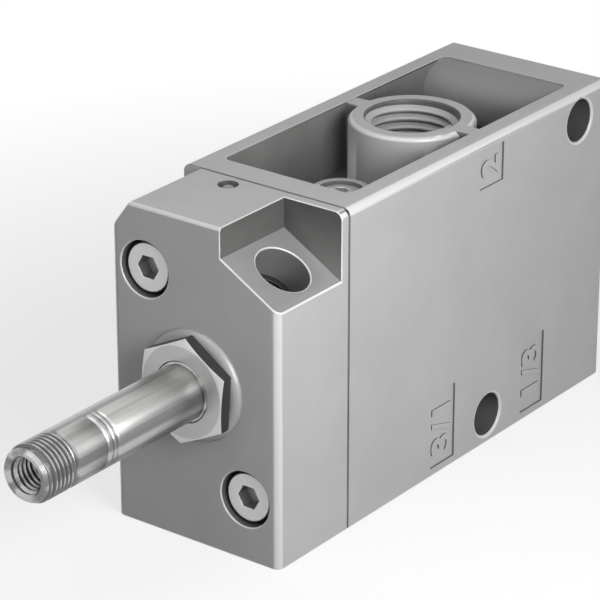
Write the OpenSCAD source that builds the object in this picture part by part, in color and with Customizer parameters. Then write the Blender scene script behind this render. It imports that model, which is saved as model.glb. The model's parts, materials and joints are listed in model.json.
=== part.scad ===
// Pilot-operated 3/2-way poppet valve with a solenoid armature tube, bolted pilot cover and manual override.
// Millimetres. +X runs to the rear along the valve, +Z is up, -Y is the side with the port numbers.
// The origin is on the underside, straight below the axis of the top port.

/* [Valve body] */
// Width of the block, side to side
block_w = 28; // [27:0.5:34]
// Height of the block
block_h = 47; // [46:0.5:54]
// From the top port axis forward to the cover joint
port_to_seam = 33.8; // [33.4:0.2:38]
// From the top port axis back to the rear face
port_to_rear = 30.2; // [29.5:0.2:36]
// Rounding of the long outer edges
edge_r = 1.2; // [0.6:0.1:2]

/* [Top pocket] */
// Wall between the valve bore and the pocket floor
floor_wall = 5; // [4.75:0.25:6.5]
// Wall between the pocket and each side
pocket_side_wall = 3.4; // [2.6:0.1:3.8]
// Wall between the pocket and the cover joint
pocket_front_wall = 4.5; // [3.5:0.1:5.5]
// Wall between the pocket and the rear face
pocket_rear_wall = 6.7; // [5:0.1:7.2]
// Rounding of the pocket's upright corners
pocket_corner_r = 1; // [0.6:0.1:1.6]
// Outer diameter of the top port boss
port_boss_d = 18.2; // [16.5:0.1:18.8]
// How far the boss stops below the top
port_boss_drop = 0.1; // [0.1:0.1:2]
// Chamfer round the top of the boss
port_boss_edge = 0.6; // [0.2:0.1:0.9]
// Width of the ribs between that boss and the pocket walls
rib_w = 2.8; // [2:0.1:4]
// Diameter of the small plug boss
plug_boss_d = 8.3; // [8:0.1:9]
// Height of the plug boss above the pocket floor
plug_boss_rise = 4.2; // [3.5:0.1:5]
// From the top port axis forward to the plug boss
plug_boss_offset = 16.9; // [16.4:0.1:17.4]
// Diameter of the rounded boss around the upper mounting hole
hole_boss_d = 8.5; // [8:0.1:8.5]

/* [Ports] */
// Thread major diameter of the three main ports, G 1/4
port_d = 13.16; // [12.6:0.02:13.16]
// Diameter of the chamfer at each port mouth
port_mouth_d = 13.8; // [13.4:0.1:14.2]
// Depth of each port thread
port_depth = 11; // [10:0.25:11.5]
// Distance of each lower port from the top port axis
lower_port_offset = 11.4; // [11:0.1:12]
// Diameter of the passage from each lower port to the bore
lower_passage_d = 7.2; // [5:0.1:7.2]
// Diameter of the passage from the top port to the bore
upper_passage_d = 9; // [6:0.1:9.5]

/* [Number panels] */
// Width of the three shallow panels for the port numbers
panel_w = 5.8; // [4:0.2:7]
// Height of the two lower panels
panel_h = 11.4; // [8:0.2:13]
// Height of the panel under the top port
panel_top_h = 5.7; // [4:0.1:6]
// Depth of the panels
panel_depth = 0.3; // [0.1:0.05:0.5]

/* [Mounting holes] */
// Diameter of the two through holes for M6 screws
mount_hole_d = 6.4; // [6:0.1:6.6]
// Diameter of the countersink at each end of them
mount_sink_d = 6.8; // [6.7:0.1:7.2]
// Height of the lower hole above the underside
lower_hole_z = 4.3; // [3.8:0.1:4.6]
// Distance of the upper hole below the top
upper_hole_drop = 4.3; // [4.3:0.05:5]
// Distance of the upper hole from the rear face
upper_hole_inset = 8.1; // [7.6:0.1:9]

/* [Pilot cover] */
// Length of the cover along the valve
cover_l = 15.2; // [14.8:0.1:17]
// Thickness of the gasket in the joint
gasket_t = 0.3; // [0.2:0.05:0.6]
// Width of the bevel on the far top edge
bevel_w = 3.25; // [2:0.25:4.5]
// Height of that bevel
bevel_h = 4.4; // [2:0.2:5]
// Distance of each cover screw from its side
screw_inset_y = 5.7; // [5.5:0.1:6]
// Distance of each cover screw from top or underside
screw_inset_z = 9; // [8.4:0.1:10]
// Shank diameter of the cover screws, M4
screw_d = 3.9; // [3.8:0.05:4]
// Head diameter of the cover screws
screw_head_d = 7; // [6.6:0.1:7.2]
// Head height of the cover screws
screw_head_h = 4; // [3.4:0.1:4.4]
// Width across the flats of their sockets
screw_socket = 3; // [2.5:0.1:3.4]
// Length of the cover screws under the head
screw_l = 20; // [18:0.5:22]
// How deep the screw heads sit below the face
screw_sink = 0.7; // [0.3:0.1:1.2]
// Diameter of the screw counterbores
counterbore_d = 8.1; // [7.8:0.1:8.6]
// Diameter of the ball that closes the drilled channel
ball_d = 2.9; // [2.4:0.1:3.2]
// How far the ball sits below the top
ball_sink = 0.1; // [0.05:0.05:0.6]
// Distance of the ball ahead of the joint
ball_inset = 2.4; // [2.2:0.1:3]
// Distance of the ball from the middle, toward the far side
ball_y = 4.2; // [3.8:0.1:5]

/* [Manual override] */
// Wall left between the corner notch and the joint
notch_wall = 1.5; // [1.2:0.1:2.2]
// Distance of the notch's inner wall from the middle
notch_y = 4.5; // [4:0.1:5.2]
// Height of the notch floor above the tube's axis, at its inner wall
notch_rise = 19.2; // [18.5:0.1:20]
// Slope of the notch floor and tilt of the override
notch_slope = 30; // [28:0.5:32]
// Distance of the override behind the cover's front face
override_inset = 7.3; // [7:0.1:7.6]
// Distance of the override's mouth from the middle
override_y = 9.2; // [8.8:0.1:9.5]
// Diameter of the recess in the notch floor
recess_d = 7.8; // [7.4:0.1:8.2]
// Depth of that recess
recess_depth = 5; // [4:0.1:5.2]
// Diameter of the pusher's head
pusher_d = 5.9; // [5.4:0.1:6]
// Length of the pusher's head
pusher_l = 4.15; // [3.8:0.05:4.3]
// Diameter of the pusher's pin
pusher_pin_d = 2.4; // [2:0.1:2.6]
// Stroke of the pusher
pusher_stroke = 1.4; // [1:0.1:1.5]

/* [Armature tube] */
// Outside diameter of the tube
tube_d = 8; // [7.8:0.1:8.2]
// Wall of the tube
tube_wall = 0.6; // [0.5:0.05:0.7]
// Outside diameter of its thicker root inside the nut
tube_root_d = 8.6; // [8.4:0.1:9]
// How far the tube stands out from the cover
tube_reach = 34; // [32:0.5:38]
// Length of the solid end that shows beyond the tube
core_tip_l = 11.8; // [11.4:0.2:14]
// Length of the threaded end
tip_thread_l = 6; // [5:0.5:7]
// Width of the relief behind the thread
relief_w = 0.6; // [0.6:0.1:1]
// Diameter of the flange that the nut clamps
flange_d = 10.4; // [10:0.1:10.6]
// Thickness of that flange
flange_t = 1; // [0.8:0.1:1.2]
// Thread major diameter of the pilot exhaust, M5
exhaust_d = 5; // [4.8:0.05:5.1]
// Depth of the pilot exhaust thread
exhaust_depth = 8; // [6:0.5:9]
// Length of the armature
armature_l = 18; // [16:0.5:19]
// Stroke of the armature
armature_stroke = 0.8; // [0.5:0.1:1]

/* [Tube nut and washer] */
// Width across the flats of the nut
nut_flats = 13.5; // [13:0.25:14]
// Thickness of the hexagon
nut_t = 1.9; // [1.4:0.05:2.5]
// Turn of the hexagon
nut_turn = 34; // [0:1:60]
// Angle of its chamfer to the front face, in degrees
nut_chamfer_angle = 17; // [15:1:30]
// Thread diameter of the nut's shank, M12
nut_thread_d = 12; // [11.6:0.1:12.4]
// Depth of the tapped hole for the nut
nut_depth = 3.4; // [3.2:0.1:3.8]
// Outside diameter of the washer
washer_d = 16; // [15:0.5:17]
// Thickness of the washer
washer_t = 1; // [0.8:0.1:1.4]

/* [Valve insides] */
// Diameter of the piston bore
piston_bore_d = 19; // [18.4:0.1:19.2]
// Depth of the piston bore
piston_bore_depth = 10; // [9.6:0.1:10.4]
// Diameter of the main bore
main_bore_d = 17; // [16.6:0.1:17]
// Diameter of the supply chamber behind the sleeve
chamber_d = 14; // [13.6:0.1:14.2]
// Distance of each sleeve end from the top port axis
sleeve_half = 7.5; // [7.2:0.05:7.6]
// How far the poppet seals reach over the inner edge of the seats
seat_overlap = 0.9; // [0.8:0.05:1]
// Height of the seat lips
lip_h = 0.3; // [0.2:0.05:0.4]
// Clearance between the poppets and the supply chamber
poppet_gap = 0.6; // [0.5:0.05:0.7]
// Thickness of the poppet seals
poppet_seal_t = 1; // [0.8:0.05:1.2]
// Stroke of the stem and its poppets
stem_stroke = 1.95; // [1.5:0.05:2]
// Diameter of the stem
stem_d = 4; // [3.6:0.1:4.2]
// Thickness of the piston
piston_t = 4; // [3.6:0.1:4.2]
// Outer diameter of the return spring
return_spring_d = 9; // [8.4:0.1:9.2]
// Wire of the return spring
return_wire = 0.9; // [0.7:0.05:1]
// Length of the supply chamber behind the rear port's axis
chamber_tail = 7.6; // [7.2:0.1:8]
// Wall left behind the return spring
spring_end_wall = 3.2; // [3:0.1:4]
// Diameter of the pilot channels
channel_d = 1.8; // [1.4:0.1:2]
// Height of the pilot channel above the valve bore's axis
channel_rise = 10; // [9.5:0.1:10.5]

/* [Hidden] */
$fn = 64;

cast_grey = "#b4b5b3";
steel_grey = "#c9cac8";
zinc_grey = "#bcbdb9";
rubber_black = "#2b2b2b";
brass_gold = "#c8a860";
copper_red = "#b06a44";

// Cut allowance and running clearances
eps = 0.5;
slide_gap = 0.05;
seal_gap = 0.03;
face_gap = 0.02;

// Stations along the valve
seam_x = -port_to_seam;
rear_x = port_to_rear;
cover_rear_x = seam_x - gasket_t;
front_x = cover_rear_x - cover_l;
half_w = block_w / 2;
axis_z = block_h / 2;
gasket_inset = 0.25;

// Pocket
floor_z = axis_z + main_bore_d / 2 + floor_wall;
pocket_front_x = seam_x + pocket_front_wall;
pocket_rear_x = rear_x - pocket_rear_wall;
pocket_half_w = half_w - pocket_side_wall;
port_boss_z = block_h - port_boss_drop;
plug_boss_z = floor_z + plug_boss_rise;
panel_low_z = edge_r;
panel_top_x = -0.5;
panel_top_z = block_h - edge_r - 0.2;
upper_hole_x = rear_x - upper_hole_inset;
upper_hole_z = block_h - upper_hole_drop;

// Small plug in its boss
plug_thread_d = 4;
plug_disc_d = 6.2;
plug_disc_t = 1.1;
plug_sink = 0.15;
plug_seal_r = 0.4;
plug_l = 4.5;
plug_seat_z = plug_boss_z - plug_sink - plug_disc_t - 2 * plug_seal_r;

// Cover screws: one high on the far side, one low on the near side
screw_places = [
    [half_w - screw_inset_y, block_h - screw_inset_z],
    [-(half_w - screw_inset_y), screw_inset_z]
];
screw_seat_x = front_x + screw_sink + screw_head_h;
screw_hole_d = screw_d + 0.6;
screw_tip_gap = 1;
screw_end_x = screw_seat_x + screw_l + screw_tip_gap;
screw_boss_wall = 1.5;

// Pilot side, from the front face of the cover to the nozzle
nut_seat_x = front_x + nut_depth;
flange_rear_x = nut_seat_x + flange_t;
tube_seal_r = 0.45;
pilot_seat_x = flange_rear_x + 2 * tube_seal_r;
pilot_chamber_d = 8.6;
pilot_floor_x = flange_rear_x + 4.5;
nozzle_d = 4.4;
nozzle_tip_d = 3.2;
nozzle_set_l = 3.1;
nozzle_end_x = pilot_floor_x + nozzle_set_l;
seal_proud = 0.25;
nozzle_tip_x = pilot_floor_x - 2.75;
armature_rear_x = nozzle_tip_x - seal_proud;
armature_front_x = armature_rear_x - armature_l;
pole_x = armature_front_x - armature_stroke;
tip_x = front_x - tube_reach;
tube_front_x = tip_x + core_tip_l;
joint_bevel = 0.2;
tube_bore_d = tube_d - 2 * tube_wall;
armature_d = tube_bore_d - 4 * slide_gap;
armature_bore_d = 4.8;
armature_bore_l = 6;
armature_spring_r = 1.95;
armature_wire = 0.4;
exhaust_seal_d = 2.5;
nozzle_seal_d = 3.6;
nozzle_seal_l = 1.5;
core_recess_d = 3.2;
core_recess_depth = 0.45;
shading_mid_d = 5.6;
shading_w = 0.6;
shading_depth = 1;

// Channels: supply air from the rear chamber to the nozzle
channel_y = half_w - 3.4;
channel_z = axis_z + channel_rise;
channel_x = cover_rear_x - ball_inset;
feed_y = -3.3;
feed_d = 1.4;

// Override, along its own axis: 0 at the notch floor, negative inward
override_x = front_x + override_inset;
notch_z = axis_z + notch_rise;
override_z = notch_z - (override_y - notch_y) * tan(notch_slope);
circlip_t = 0.6;
circlip_top = -recess_depth - 0.4;
pusher_top = circlip_top - circlip_t - face_gap;
pusher_shoulder = pusher_top - pusher_l;
override_spring_l = pusher_stroke + 1.2;
override_bore_end = pusher_shoulder - override_spring_l;
pusher_tip = -15.1;
override_wire = 0.35;

// Valve insides, front to rear
piston_bore_end = seam_x + piston_bore_depth;
bush_flange_t = 1.5;
bush_front_x = piston_bore_end - bush_flange_t;
bush_ring_t = 1;
bush_cage_x = -lower_port_offset - 5.1;
piston_front_x = seam_x + 0.8;
piston_rear_x = piston_front_x + piston_t;
piston_stub_d = 4.4;
ring_seal_r = 0.58;
ring_groove_w = 1.6;
ring_groove_depth = 1.2;
piston_seal_r = 0.88;
piston_groove_w = 2.4;
lip_x = sleeve_half + lip_h;
sleeve_seal_x = 5.7;
window_d = 6.4;
poppet_d = chamber_d - 2 * poppet_gap;
seat_d = poppet_d - 2 * seat_overlap;
poppet_t = 2.3;
exhaust_hub_l = 0.8;
supply_hub_l = 2.5;
stem_tail = 3;
poppet_hub_d = 6.4;
collar_t = 1;
supply_chamber_end = lower_port_offset + chamber_tail;
spring_pocket_d = 10;
spring_pocket_end = rear_x - spring_end_wall;
supply_poppet_x = lip_x + poppet_seal_t;
exhaust_face_x = -lip_x - stem_stroke;
bush_fit_d = main_bore_d - 2 * slide_gap;

// A flat outline from corner lo to corner hi, its corners rounded by r where the flag is 1.
// The corners run low-low, high-low, high-high, low-high.
module outline(lo, hi, r, flags = [1, 1, 1, 1]) {
    size = hi - lo;
    translate([lo[0] + r, lo[1]]) square([size[0] - 2 * r, size[1]]);
    translate([lo[0], lo[1] + r]) square([size[0], size[1] - 2 * r]);
    corners = [lo, [hi[0], lo[1]], hi, [lo[0], hi[1]]];
    inward = [[1, 1], [-1, 1], [-1, -1], [1, -1]];
    for (i = [0:3])
        translate([corners[i][0] + inward[i][0] * r, corners[i][1] + inward[i][1] * r])
            if (flags[i] == 1) circle(r);
            else square(2 * r, center = true);
}

// A flat shape (y, z) drawn out along X from x0 to x1
module along_x(x0, x1) {
    translate([x0, 0, 0]) rotate([90, 0, 90]) linear_extrude(x1 - x0) children();
}

// A flat shape (x, z) drawn out along Y from y0 to y1
module along_y(y0, y1) {
    translate([0, y1, 0]) rotate([90, 0, 0]) linear_extrude(y1 - y0) children();
}

// A round hole or rod along X, from x0 to x1, at (y, z)
module rod_x(x0, x1, d, y = 0, z = axis_z) {
    translate([x0, y, z]) rotate([0, 90, 0]) cylinder(h = x1 - x0, d = d);
}

// A turned piece on the valve axis, from its half profile of [radius, x] points
module turned(profile) {
    translate([0, 0, axis_z]) rotate([0, 90, 0]) rotate_extrude() polygon(profile);
}

// An O-ring on the valve axis at x, from its inner and outer radius
module o_ring_x(x, section_r, outer_r) {
    translate([x, 0, axis_z]) rotate([0, 90, 0]) rotate_extrude()
        translate([outer_r - section_r, 0]) circle(section_r, $fn = 32);
}

// Places its children on the override's axis, mouth at the origin and +Z outward
module on_override() {
    translate([override_x, -override_y, override_z]) rotate([notch_slope, 0, 0]) children();
}

// Height of a spring's wire centre at a number of turns, with one closed turn at each end
function coil_rise(t, turns, wire, run) =
    let (closed = 1.1 * wire)
    t < 1 ? closed * t
    : t > turns - 1 ? run - closed * (turns - t)
    : closed + (t - 1) * (run - 2 * closed) / (turns - 2);

// A helical compression spring from z = 0 up to its length
module coil_spring(mean_r, wire, length, turns, steps = 16, sides = 6) {
    count = turns * steps;
    points = [
        for (i = [0:count], k = [0:sides - 1])
            let (
                turn = 360 * i / steps,
                side = 360 * k / sides,
                r = mean_r + wire / 2 * cos(side),
                z = wire / 2 + coil_rise(i / steps, turns, wire, length - wire) + wire / 2 * sin(side)
            )
            [r * cos(turn), r * sin(turn), z]
    ];
    wall = [
        for (i = [0:count - 1], k = [0:sides - 1])
            let (next = (k + 1) % sides)
            [i * sides + k, i * sides + next, (i + 1) * sides + next, (i + 1) * sides + k]
    ];
    low_end = [for (k = [sides - 1:-1:0]) k];
    high_end = [for (k = [0:sides - 1]) count * sides + k];
    polyhedron(points, concat([low_end], wall, [high_end]));
}

// The cast block of the body: rounded along the top and around the rear face
module body_block() {
    intersection() {
        along_x(seam_x, rear_x)
            outline([-half_w, 0], [half_w, block_h], edge_r, [0, 0, 1, 1]);
        along_y(-half_w, half_w)
            outline([seam_x, 0], [rear_x, block_h], edge_r, [0, 0, 1, 0]);
        linear_extrude(block_h)
            outline([seam_x, -half_w], [rear_x, half_w], edge_r, [0, 1, 1, 0]);
    }
}

// A through hole along Y with a countersink on both sides
module mount_hole(x, z) {
    sink = (mount_sink_d - mount_hole_d) / 2;
    translate([x, 0, z]) rotate([90, 0, 0]) cylinder(h = block_w + eps, d = mount_hole_d, center = true);
    for (side = [-1, 1])
        translate([x, side * half_w, z]) rotate([side * 90, 0, 0])
            cylinder(h = sink, d1 = mount_sink_d, d2 = mount_hole_d);
}

// A shallow panel in the near side for a port number, between two heights
module number_panel(x, low, high) {
    translate([x - panel_w / 2, -half_w - eps, low]) cube([panel_w, panel_depth + eps, high - low]);
}

// A threaded port going in along -Z from z = 0, with its mouth chamfer
module port_hole(passage_d, passage_l) {
    chamfer = (port_mouth_d - port_d) / 2;
    translate([0, 0, -port_depth]) cylinder(h = port_depth + eps, d = port_d);
    translate([0, 0, -chamfer]) cylinder(h = chamfer, d1 = port_d, d2 = port_mouth_d);
    translate([0, 0, -passage_l]) cylinder(h = passage_l, d = passage_d);
}

// The bore for piston, bush, sleeve, supply poppet and return spring
module valve_bore() {
    ring_r = piston_bore_d / 2 + 0.6;
    turned([
        [0, seam_x - eps],
        [piston_bore_d / 2, seam_x - eps],
        [piston_bore_d / 2, bush_front_x - bush_ring_t],
        [ring_r, bush_front_x - bush_ring_t],
        [ring_r, bush_front_x],
        [piston_bore_d / 2, bush_front_x],
        [piston_bore_d / 2, piston_bore_end],
        [main_bore_d / 2, piston_bore_end],
        [main_bore_d / 2, sleeve_half],
        [chamber_d / 2, sleeve_half],
        [chamber_d / 2, supply_chamber_end],
        [spring_pocket_d / 2, supply_chamber_end],
        [spring_pocket_d / 2, spring_pocket_end],
        [0, spring_pocket_end]
    ]);
}

// Bosses and ribs that stand in the pocket
module pocket_bosses() {
    screw = screw_places[0];
    boss_half = screw_hole_d / 2 + screw_boss_wall;
    boss_foot = axis_z + main_bore_d / 2;
    translate([0, 0, boss_foot]) cylinder(h = port_boss_z - boss_foot - port_boss_edge, d = port_boss_d);
    translate([0, 0, port_boss_z - port_boss_edge])
        cylinder(h = port_boss_edge, d1 = port_boss_d, d2 = port_boss_d - 2 * port_boss_edge);
    translate([-rib_w / 2, -pocket_half_w - eps, floor_z - eps])
        cube([rib_w, 2 * (pocket_half_w + eps), port_boss_z - floor_z + eps]);
    translate([-plug_boss_offset, 0, floor_z - eps])
        cylinder(h = plug_boss_z - floor_z + eps, d = plug_boss_d);
    translate([upper_hole_x, pocket_half_w + eps, upper_hole_z]) rotate([90, 0, 0])
        cylinder(h = 2 * (pocket_half_w + eps), d = hole_boss_d);
    translate([upper_hole_x, -pocket_half_w - eps, floor_z - eps])
        cube([pocket_rear_x - upper_hole_x + eps, 2 * (pocket_half_w + eps), upper_hole_z - floor_z + eps]);
    translate([pocket_front_x - eps, screw[0] - boss_half, floor_z - eps])
        cube([
            screw_end_x + screw_boss_wall - pocket_front_x + eps,
            pocket_half_w + eps - screw[0] + boss_half,
            screw[1] + boss_half - floor_z + eps
        ]);
}

module valve_body() {
    color(cast_grey) difference() {
        union() {
            difference() {
                body_block();
                translate([0, 0, floor_z]) linear_extrude(block_h - floor_z + eps) outline(
                    [pocket_front_x, -pocket_half_w],
                    [pocket_rear_x, pocket_half_w],
                    pocket_corner_r
                );
            }
            pocket_bosses();
        }
        valve_bore();
        translate([0, 0, port_boss_z]) port_hole(upper_passage_d, port_boss_z - axis_z);
        for (x = [-lower_port_offset, lower_port_offset])
            translate([x, 0, 0]) mirror([0, 0, 1]) port_hole(lower_passage_d, axis_z);
        mount_hole(upper_hole_x, upper_hole_z);
        mount_hole(0, lower_hole_z);
        for (x = [-lower_port_offset, lower_port_offset]) number_panel(x, panel_low_z, panel_low_z + panel_h);
        number_panel(panel_top_x, panel_top_z - panel_top_h, panel_top_z);
        for (place = screw_places)
            rod_x(seam_x - eps, screw_end_x, screw_d + 2 * slide_gap, place[0], place[1]);
        plug_hole();
        rod_x(seam_x - eps, lower_port_offset, channel_d, channel_y, channel_z);
        translate([lower_port_offset, channel_y, channel_z])
            rotate([-atan2(channel_y, channel_z - axis_z), 0, 0]) mirror([0, 0, 1])
                cylinder(h = norm([channel_y, channel_z - axis_z]), d = channel_d);
    }
}

// The cover's section: square below, bevelled on the far top edge, shrunk by inset
module cover_section(inset = 0) {
    side = half_w - inset;
    top = block_h - inset;
    polygon([
        [-side, inset],
        [side, inset],
        [side, top - bevel_h],
        [side - bevel_w, top],
        [-side, top]
    ]);
}

// Gasket sheet in the joint, with openings for piston, screws and channel
module cover_gasket() {
    color(rubber_black) difference() {
        along_x(cover_rear_x, seam_x) cover_section(gasket_inset);
        rod_x(cover_rear_x - eps, seam_x + eps, piston_bore_d);
        for (place = screw_places)
            rod_x(cover_rear_x - eps, seam_x + eps, screw_hole_d, place[0], place[1]);
        rod_x(cover_rear_x - eps, seam_x + eps, channel_d, channel_y, channel_z);
    }
}

// The cast block of the cover: bevelled on the far top edge, rounded around the front face
module cover_block() {
    intersection() {
        along_x(front_x, cover_rear_x)
            outline([-half_w, 0], [half_w, block_h], edge_r, [0, 0, 1, 1]);
        along_y(-half_w, half_w)
            outline([front_x, 0], [cover_rear_x, block_h], edge_r / 2, [0, 0, 0, 1]);
        linear_extrude(block_h)
            outline([front_x, -half_w], [cover_rear_x, half_w], edge_r, [1, 0, 0, 1]);
        along_x(front_x, cover_rear_x) cover_section();
    }
}

// The stepped hole for armature tube, nozzle and the channels behind it
module pilot_bore() {
    seat_r = flange_d / 2 + slide_gap;
    turned([
        [0, front_x - eps],
        [nut_thread_d / 2, front_x - eps],
        [nut_thread_d / 2, nut_seat_x],
        [seat_r, nut_seat_x],
        [seat_r, pilot_seat_x],
        [pilot_chamber_d / 2, pilot_seat_x],
        [pilot_chamber_d / 2, pilot_floor_x],
        [nozzle_d / 2, pilot_floor_x],
        [nozzle_d / 2, nozzle_end_x],
        [channel_d / 2, nozzle_end_x],
        [channel_d / 2, channel_x],
        [0, channel_x]
    ]);
}

// Supply channels in the cover: in from the joint, across, down to the nozzle, and up to the ball
module cover_channels() {
    rod_x(channel_x, cover_rear_x + eps, channel_d, channel_y, channel_z);
    translate([channel_x, ball_y, channel_z]) rotate([-90, 0, 0])
        cylinder(h = channel_y - ball_y, d = channel_d);
    translate([channel_x, ball_y, axis_z]) cylinder(h = block_h - axis_z + eps, d = channel_d);
    translate([channel_x, 0, axis_z]) rotate([-90, 0, 0]) cylinder(h = ball_y, d = channel_d);
    translate([channel_x, ball_y, block_h - ball_d]) cylinder(h = ball_d + eps, d = ball_d);
    rod_x(pilot_floor_x - eps, cover_rear_x + eps, feed_d, feed_y);
}

// The notch floor and the stepped hole of the override
module override_cut() {
    outer_z = notch_z - (half_w + 1 - notch_y) * tan(notch_slope);
    bore_d = pusher_d + 2 * slide_gap;
    along_x(front_x - eps, cover_rear_x - notch_wall) polygon([
        [-notch_y, notch_z],
        [-notch_y, block_h + 1],
        [-half_w - 1, block_h + 1],
        [-half_w - 1, outer_z]
    ]);
    on_override() {
        translate([0, 0, -recess_depth]) cylinder(h = recess_depth + eps, d = recess_d);
        translate([0, 0, override_bore_end]) cylinder(h = -override_bore_end, d = bore_d);
        translate([0, 0, circlip_top - circlip_t]) cylinder(h = circlip_t, d = bore_d + 1);
        translate([0, 0, pusher_tip - 1]) cylinder(h = -pusher_tip, d = pusher_pin_d + 2 * slide_gap);
    }
}

module pilot_cover() {
    color(cast_grey) difference() {
        cover_block();
        override_cut();
        pilot_bore();
        cover_channels();
        for (place = screw_places) {
            rod_x(front_x - eps, screw_seat_x, counterbore_d, place[0], place[1]);
            rod_x(front_x, cover_rear_x + eps, screw_hole_d, place[0], place[1]);
        }
    }
}

// Socket head cap screws through the cover into the body
module cover_screws() {
    socket_l = screw_head_h / 2;
    for (place = screw_places) color(steel_grey) difference() {
        union() {
            rod_x(screw_seat_x - screw_head_h, screw_seat_x, screw_head_d, place[0], place[1]);
            rod_x(screw_seat_x, screw_seat_x + screw_l, screw_d, place[0], place[1]);
        }
        translate([screw_seat_x - screw_head_h - eps, place[0], place[1]]) rotate([0, 90, 0]) rotate([0, 0, 30])
            cylinder(h = socket_l + eps, d = screw_socket / cos(30), $fn = 6);
    }
}

// Steel ball pressed into the mouth of the drilled channel, just below the surface
module ball_plug() {
    color(steel_grey) translate([channel_x, ball_y, block_h - ball_d / 2 - ball_sink])
        sphere(d = ball_d - 2 * face_gap);
}

// Stepped hole of the small plug in its boss
module plug_hole() {
    translate([-plug_boss_offset, 0, plug_seat_z])
        cylinder(h = plug_boss_z - plug_seat_z + eps, d = plug_disc_d + 2 * slide_gap);
    translate([-plug_boss_offset, 0, axis_z]) cylinder(h = plug_boss_z - axis_z, d = channel_d);
    translate([-plug_boss_offset, 0, plug_seat_z - plug_l - screw_tip_gap])
        cylinder(h = plug_l + screw_tip_gap + eps, d = plug_thread_d + 2 * slide_gap);
}

// Screw plug with a slightly domed disc and a socket
module channel_plug() {
    dome_r = 12;
    disc_z = plug_boss_z - plug_sink - plug_disc_t;
    color(steel_grey) translate([-plug_boss_offset, 0, 0]) difference() {
        union() {
            intersection() {
                translate([0, 0, disc_z]) cylinder(h = plug_disc_t, d = plug_disc_d);
                translate([0, 0, disc_z + plug_disc_t - dome_r]) sphere(dome_r);
            }
            translate([0, 0, disc_z - plug_l]) cylinder(h = plug_l + plug_disc_t / 2, d = plug_thread_d);
        }
        translate([0, 0, disc_z - 1]) cylinder(h = plug_disc_t + 2, d = 2 / cos(30), $fn = 6);
    }
}

// O-ring under the disc of the screw plug
module channel_plug_seal() {
    color(rubber_black) translate([-plug_boss_offset, 0, plug_seat_z + plug_seal_r]) rotate_extrude()
        translate([plug_thread_d / 2 + seal_gap + plug_seal_r, 0])
            circle(plug_seal_r - seal_gap / 2, $fn = 32);
}

// Flat round washer between nut and cover
module tube_washer() {
    chamfer = 0.15;
    inner = nut_thread_d / 2 + 2 * slide_gap;
    outer = washer_d / 2;
    color(zinc_grey) turned([
        [inner, front_x - washer_t],
        [outer - chamfer, front_x - washer_t],
        [outer, front_x - washer_t + chamfer],
        [outer, front_x],
        [inner, front_x]
    ]);
}

// Thin hexagon with a threaded shank that clamps the tube's flange, drawn standing on its front face
module tube_nut() {
    corner = nut_flats / cos(30) / 2;
    face = nut_flats / 2 - 0.15;
    slope = (corner - face) * tan(nut_chamfer_angle);
    bore = tube_root_d / 2 + slide_gap;
    shank = nut_thread_d / 2 - slide_gap;
    length = nut_t + washer_t + nut_depth - face_gap;
    color(zinc_grey) translate([front_x - washer_t - nut_t, 0, axis_z])
        rotate([nut_turn, 0, 0]) rotate([0, 90, 0]) difference() {
            union() {
                intersection() {
                    rotate([0, 0, 90]) translate([0, 0, -1]) cylinder(h = nut_t + 1, r = corner, $fn = 6);
                    rotate([0, 0, 8]) rotate_extrude() polygon([
                        [0, 0],
                        [face, 0],
                        [corner + 0.5, slope + 0.5 * tan(nut_chamfer_angle)],
                        [corner + 0.5, nut_t + 1],
                        [0, nut_t + 1]
                    ]);
                }
                translate([0, 0, nut_t / 2]) cylinder(h = length - nut_t / 2, r = shank);
            }
            translate([0, 0, -1]) cylinder(h = length + 2, r = bore);
        }
}

// Thin-walled guide tube with a clamped flange, a rolled ring over the end core and a thicker root
module armature_tube() {
    outer = tube_d / 2;
    inner = tube_bore_d / 2;
    root_x = front_x - washer_t - nut_t + 0.1;
    ring_x = tube_front_x + 2;
    color(steel_grey) turned([
        [inner, tube_front_x],
        [outer - joint_bevel, tube_front_x],
        [outer, tube_front_x + joint_bevel],
        [outer, ring_x],
        [outer - joint_bevel, ring_x + joint_bevel],
        [outer, ring_x + 2 * joint_bevel],
        [outer, root_x],
        [tube_root_d / 2, root_x],
        [tube_root_d / 2, nut_seat_x],
        [flange_d / 2, nut_seat_x],
        [flange_d / 2, flange_rear_x],
        [inner, flange_rear_x]
    ]);
}

// O-ring under the tube's flange
module tube_seal() {
    color(rubber_black)
        o_ring_x(flange_rear_x + tube_seal_r, tube_seal_r - seal_gap / 2, flange_d / 2 - seal_gap);
}

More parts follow.
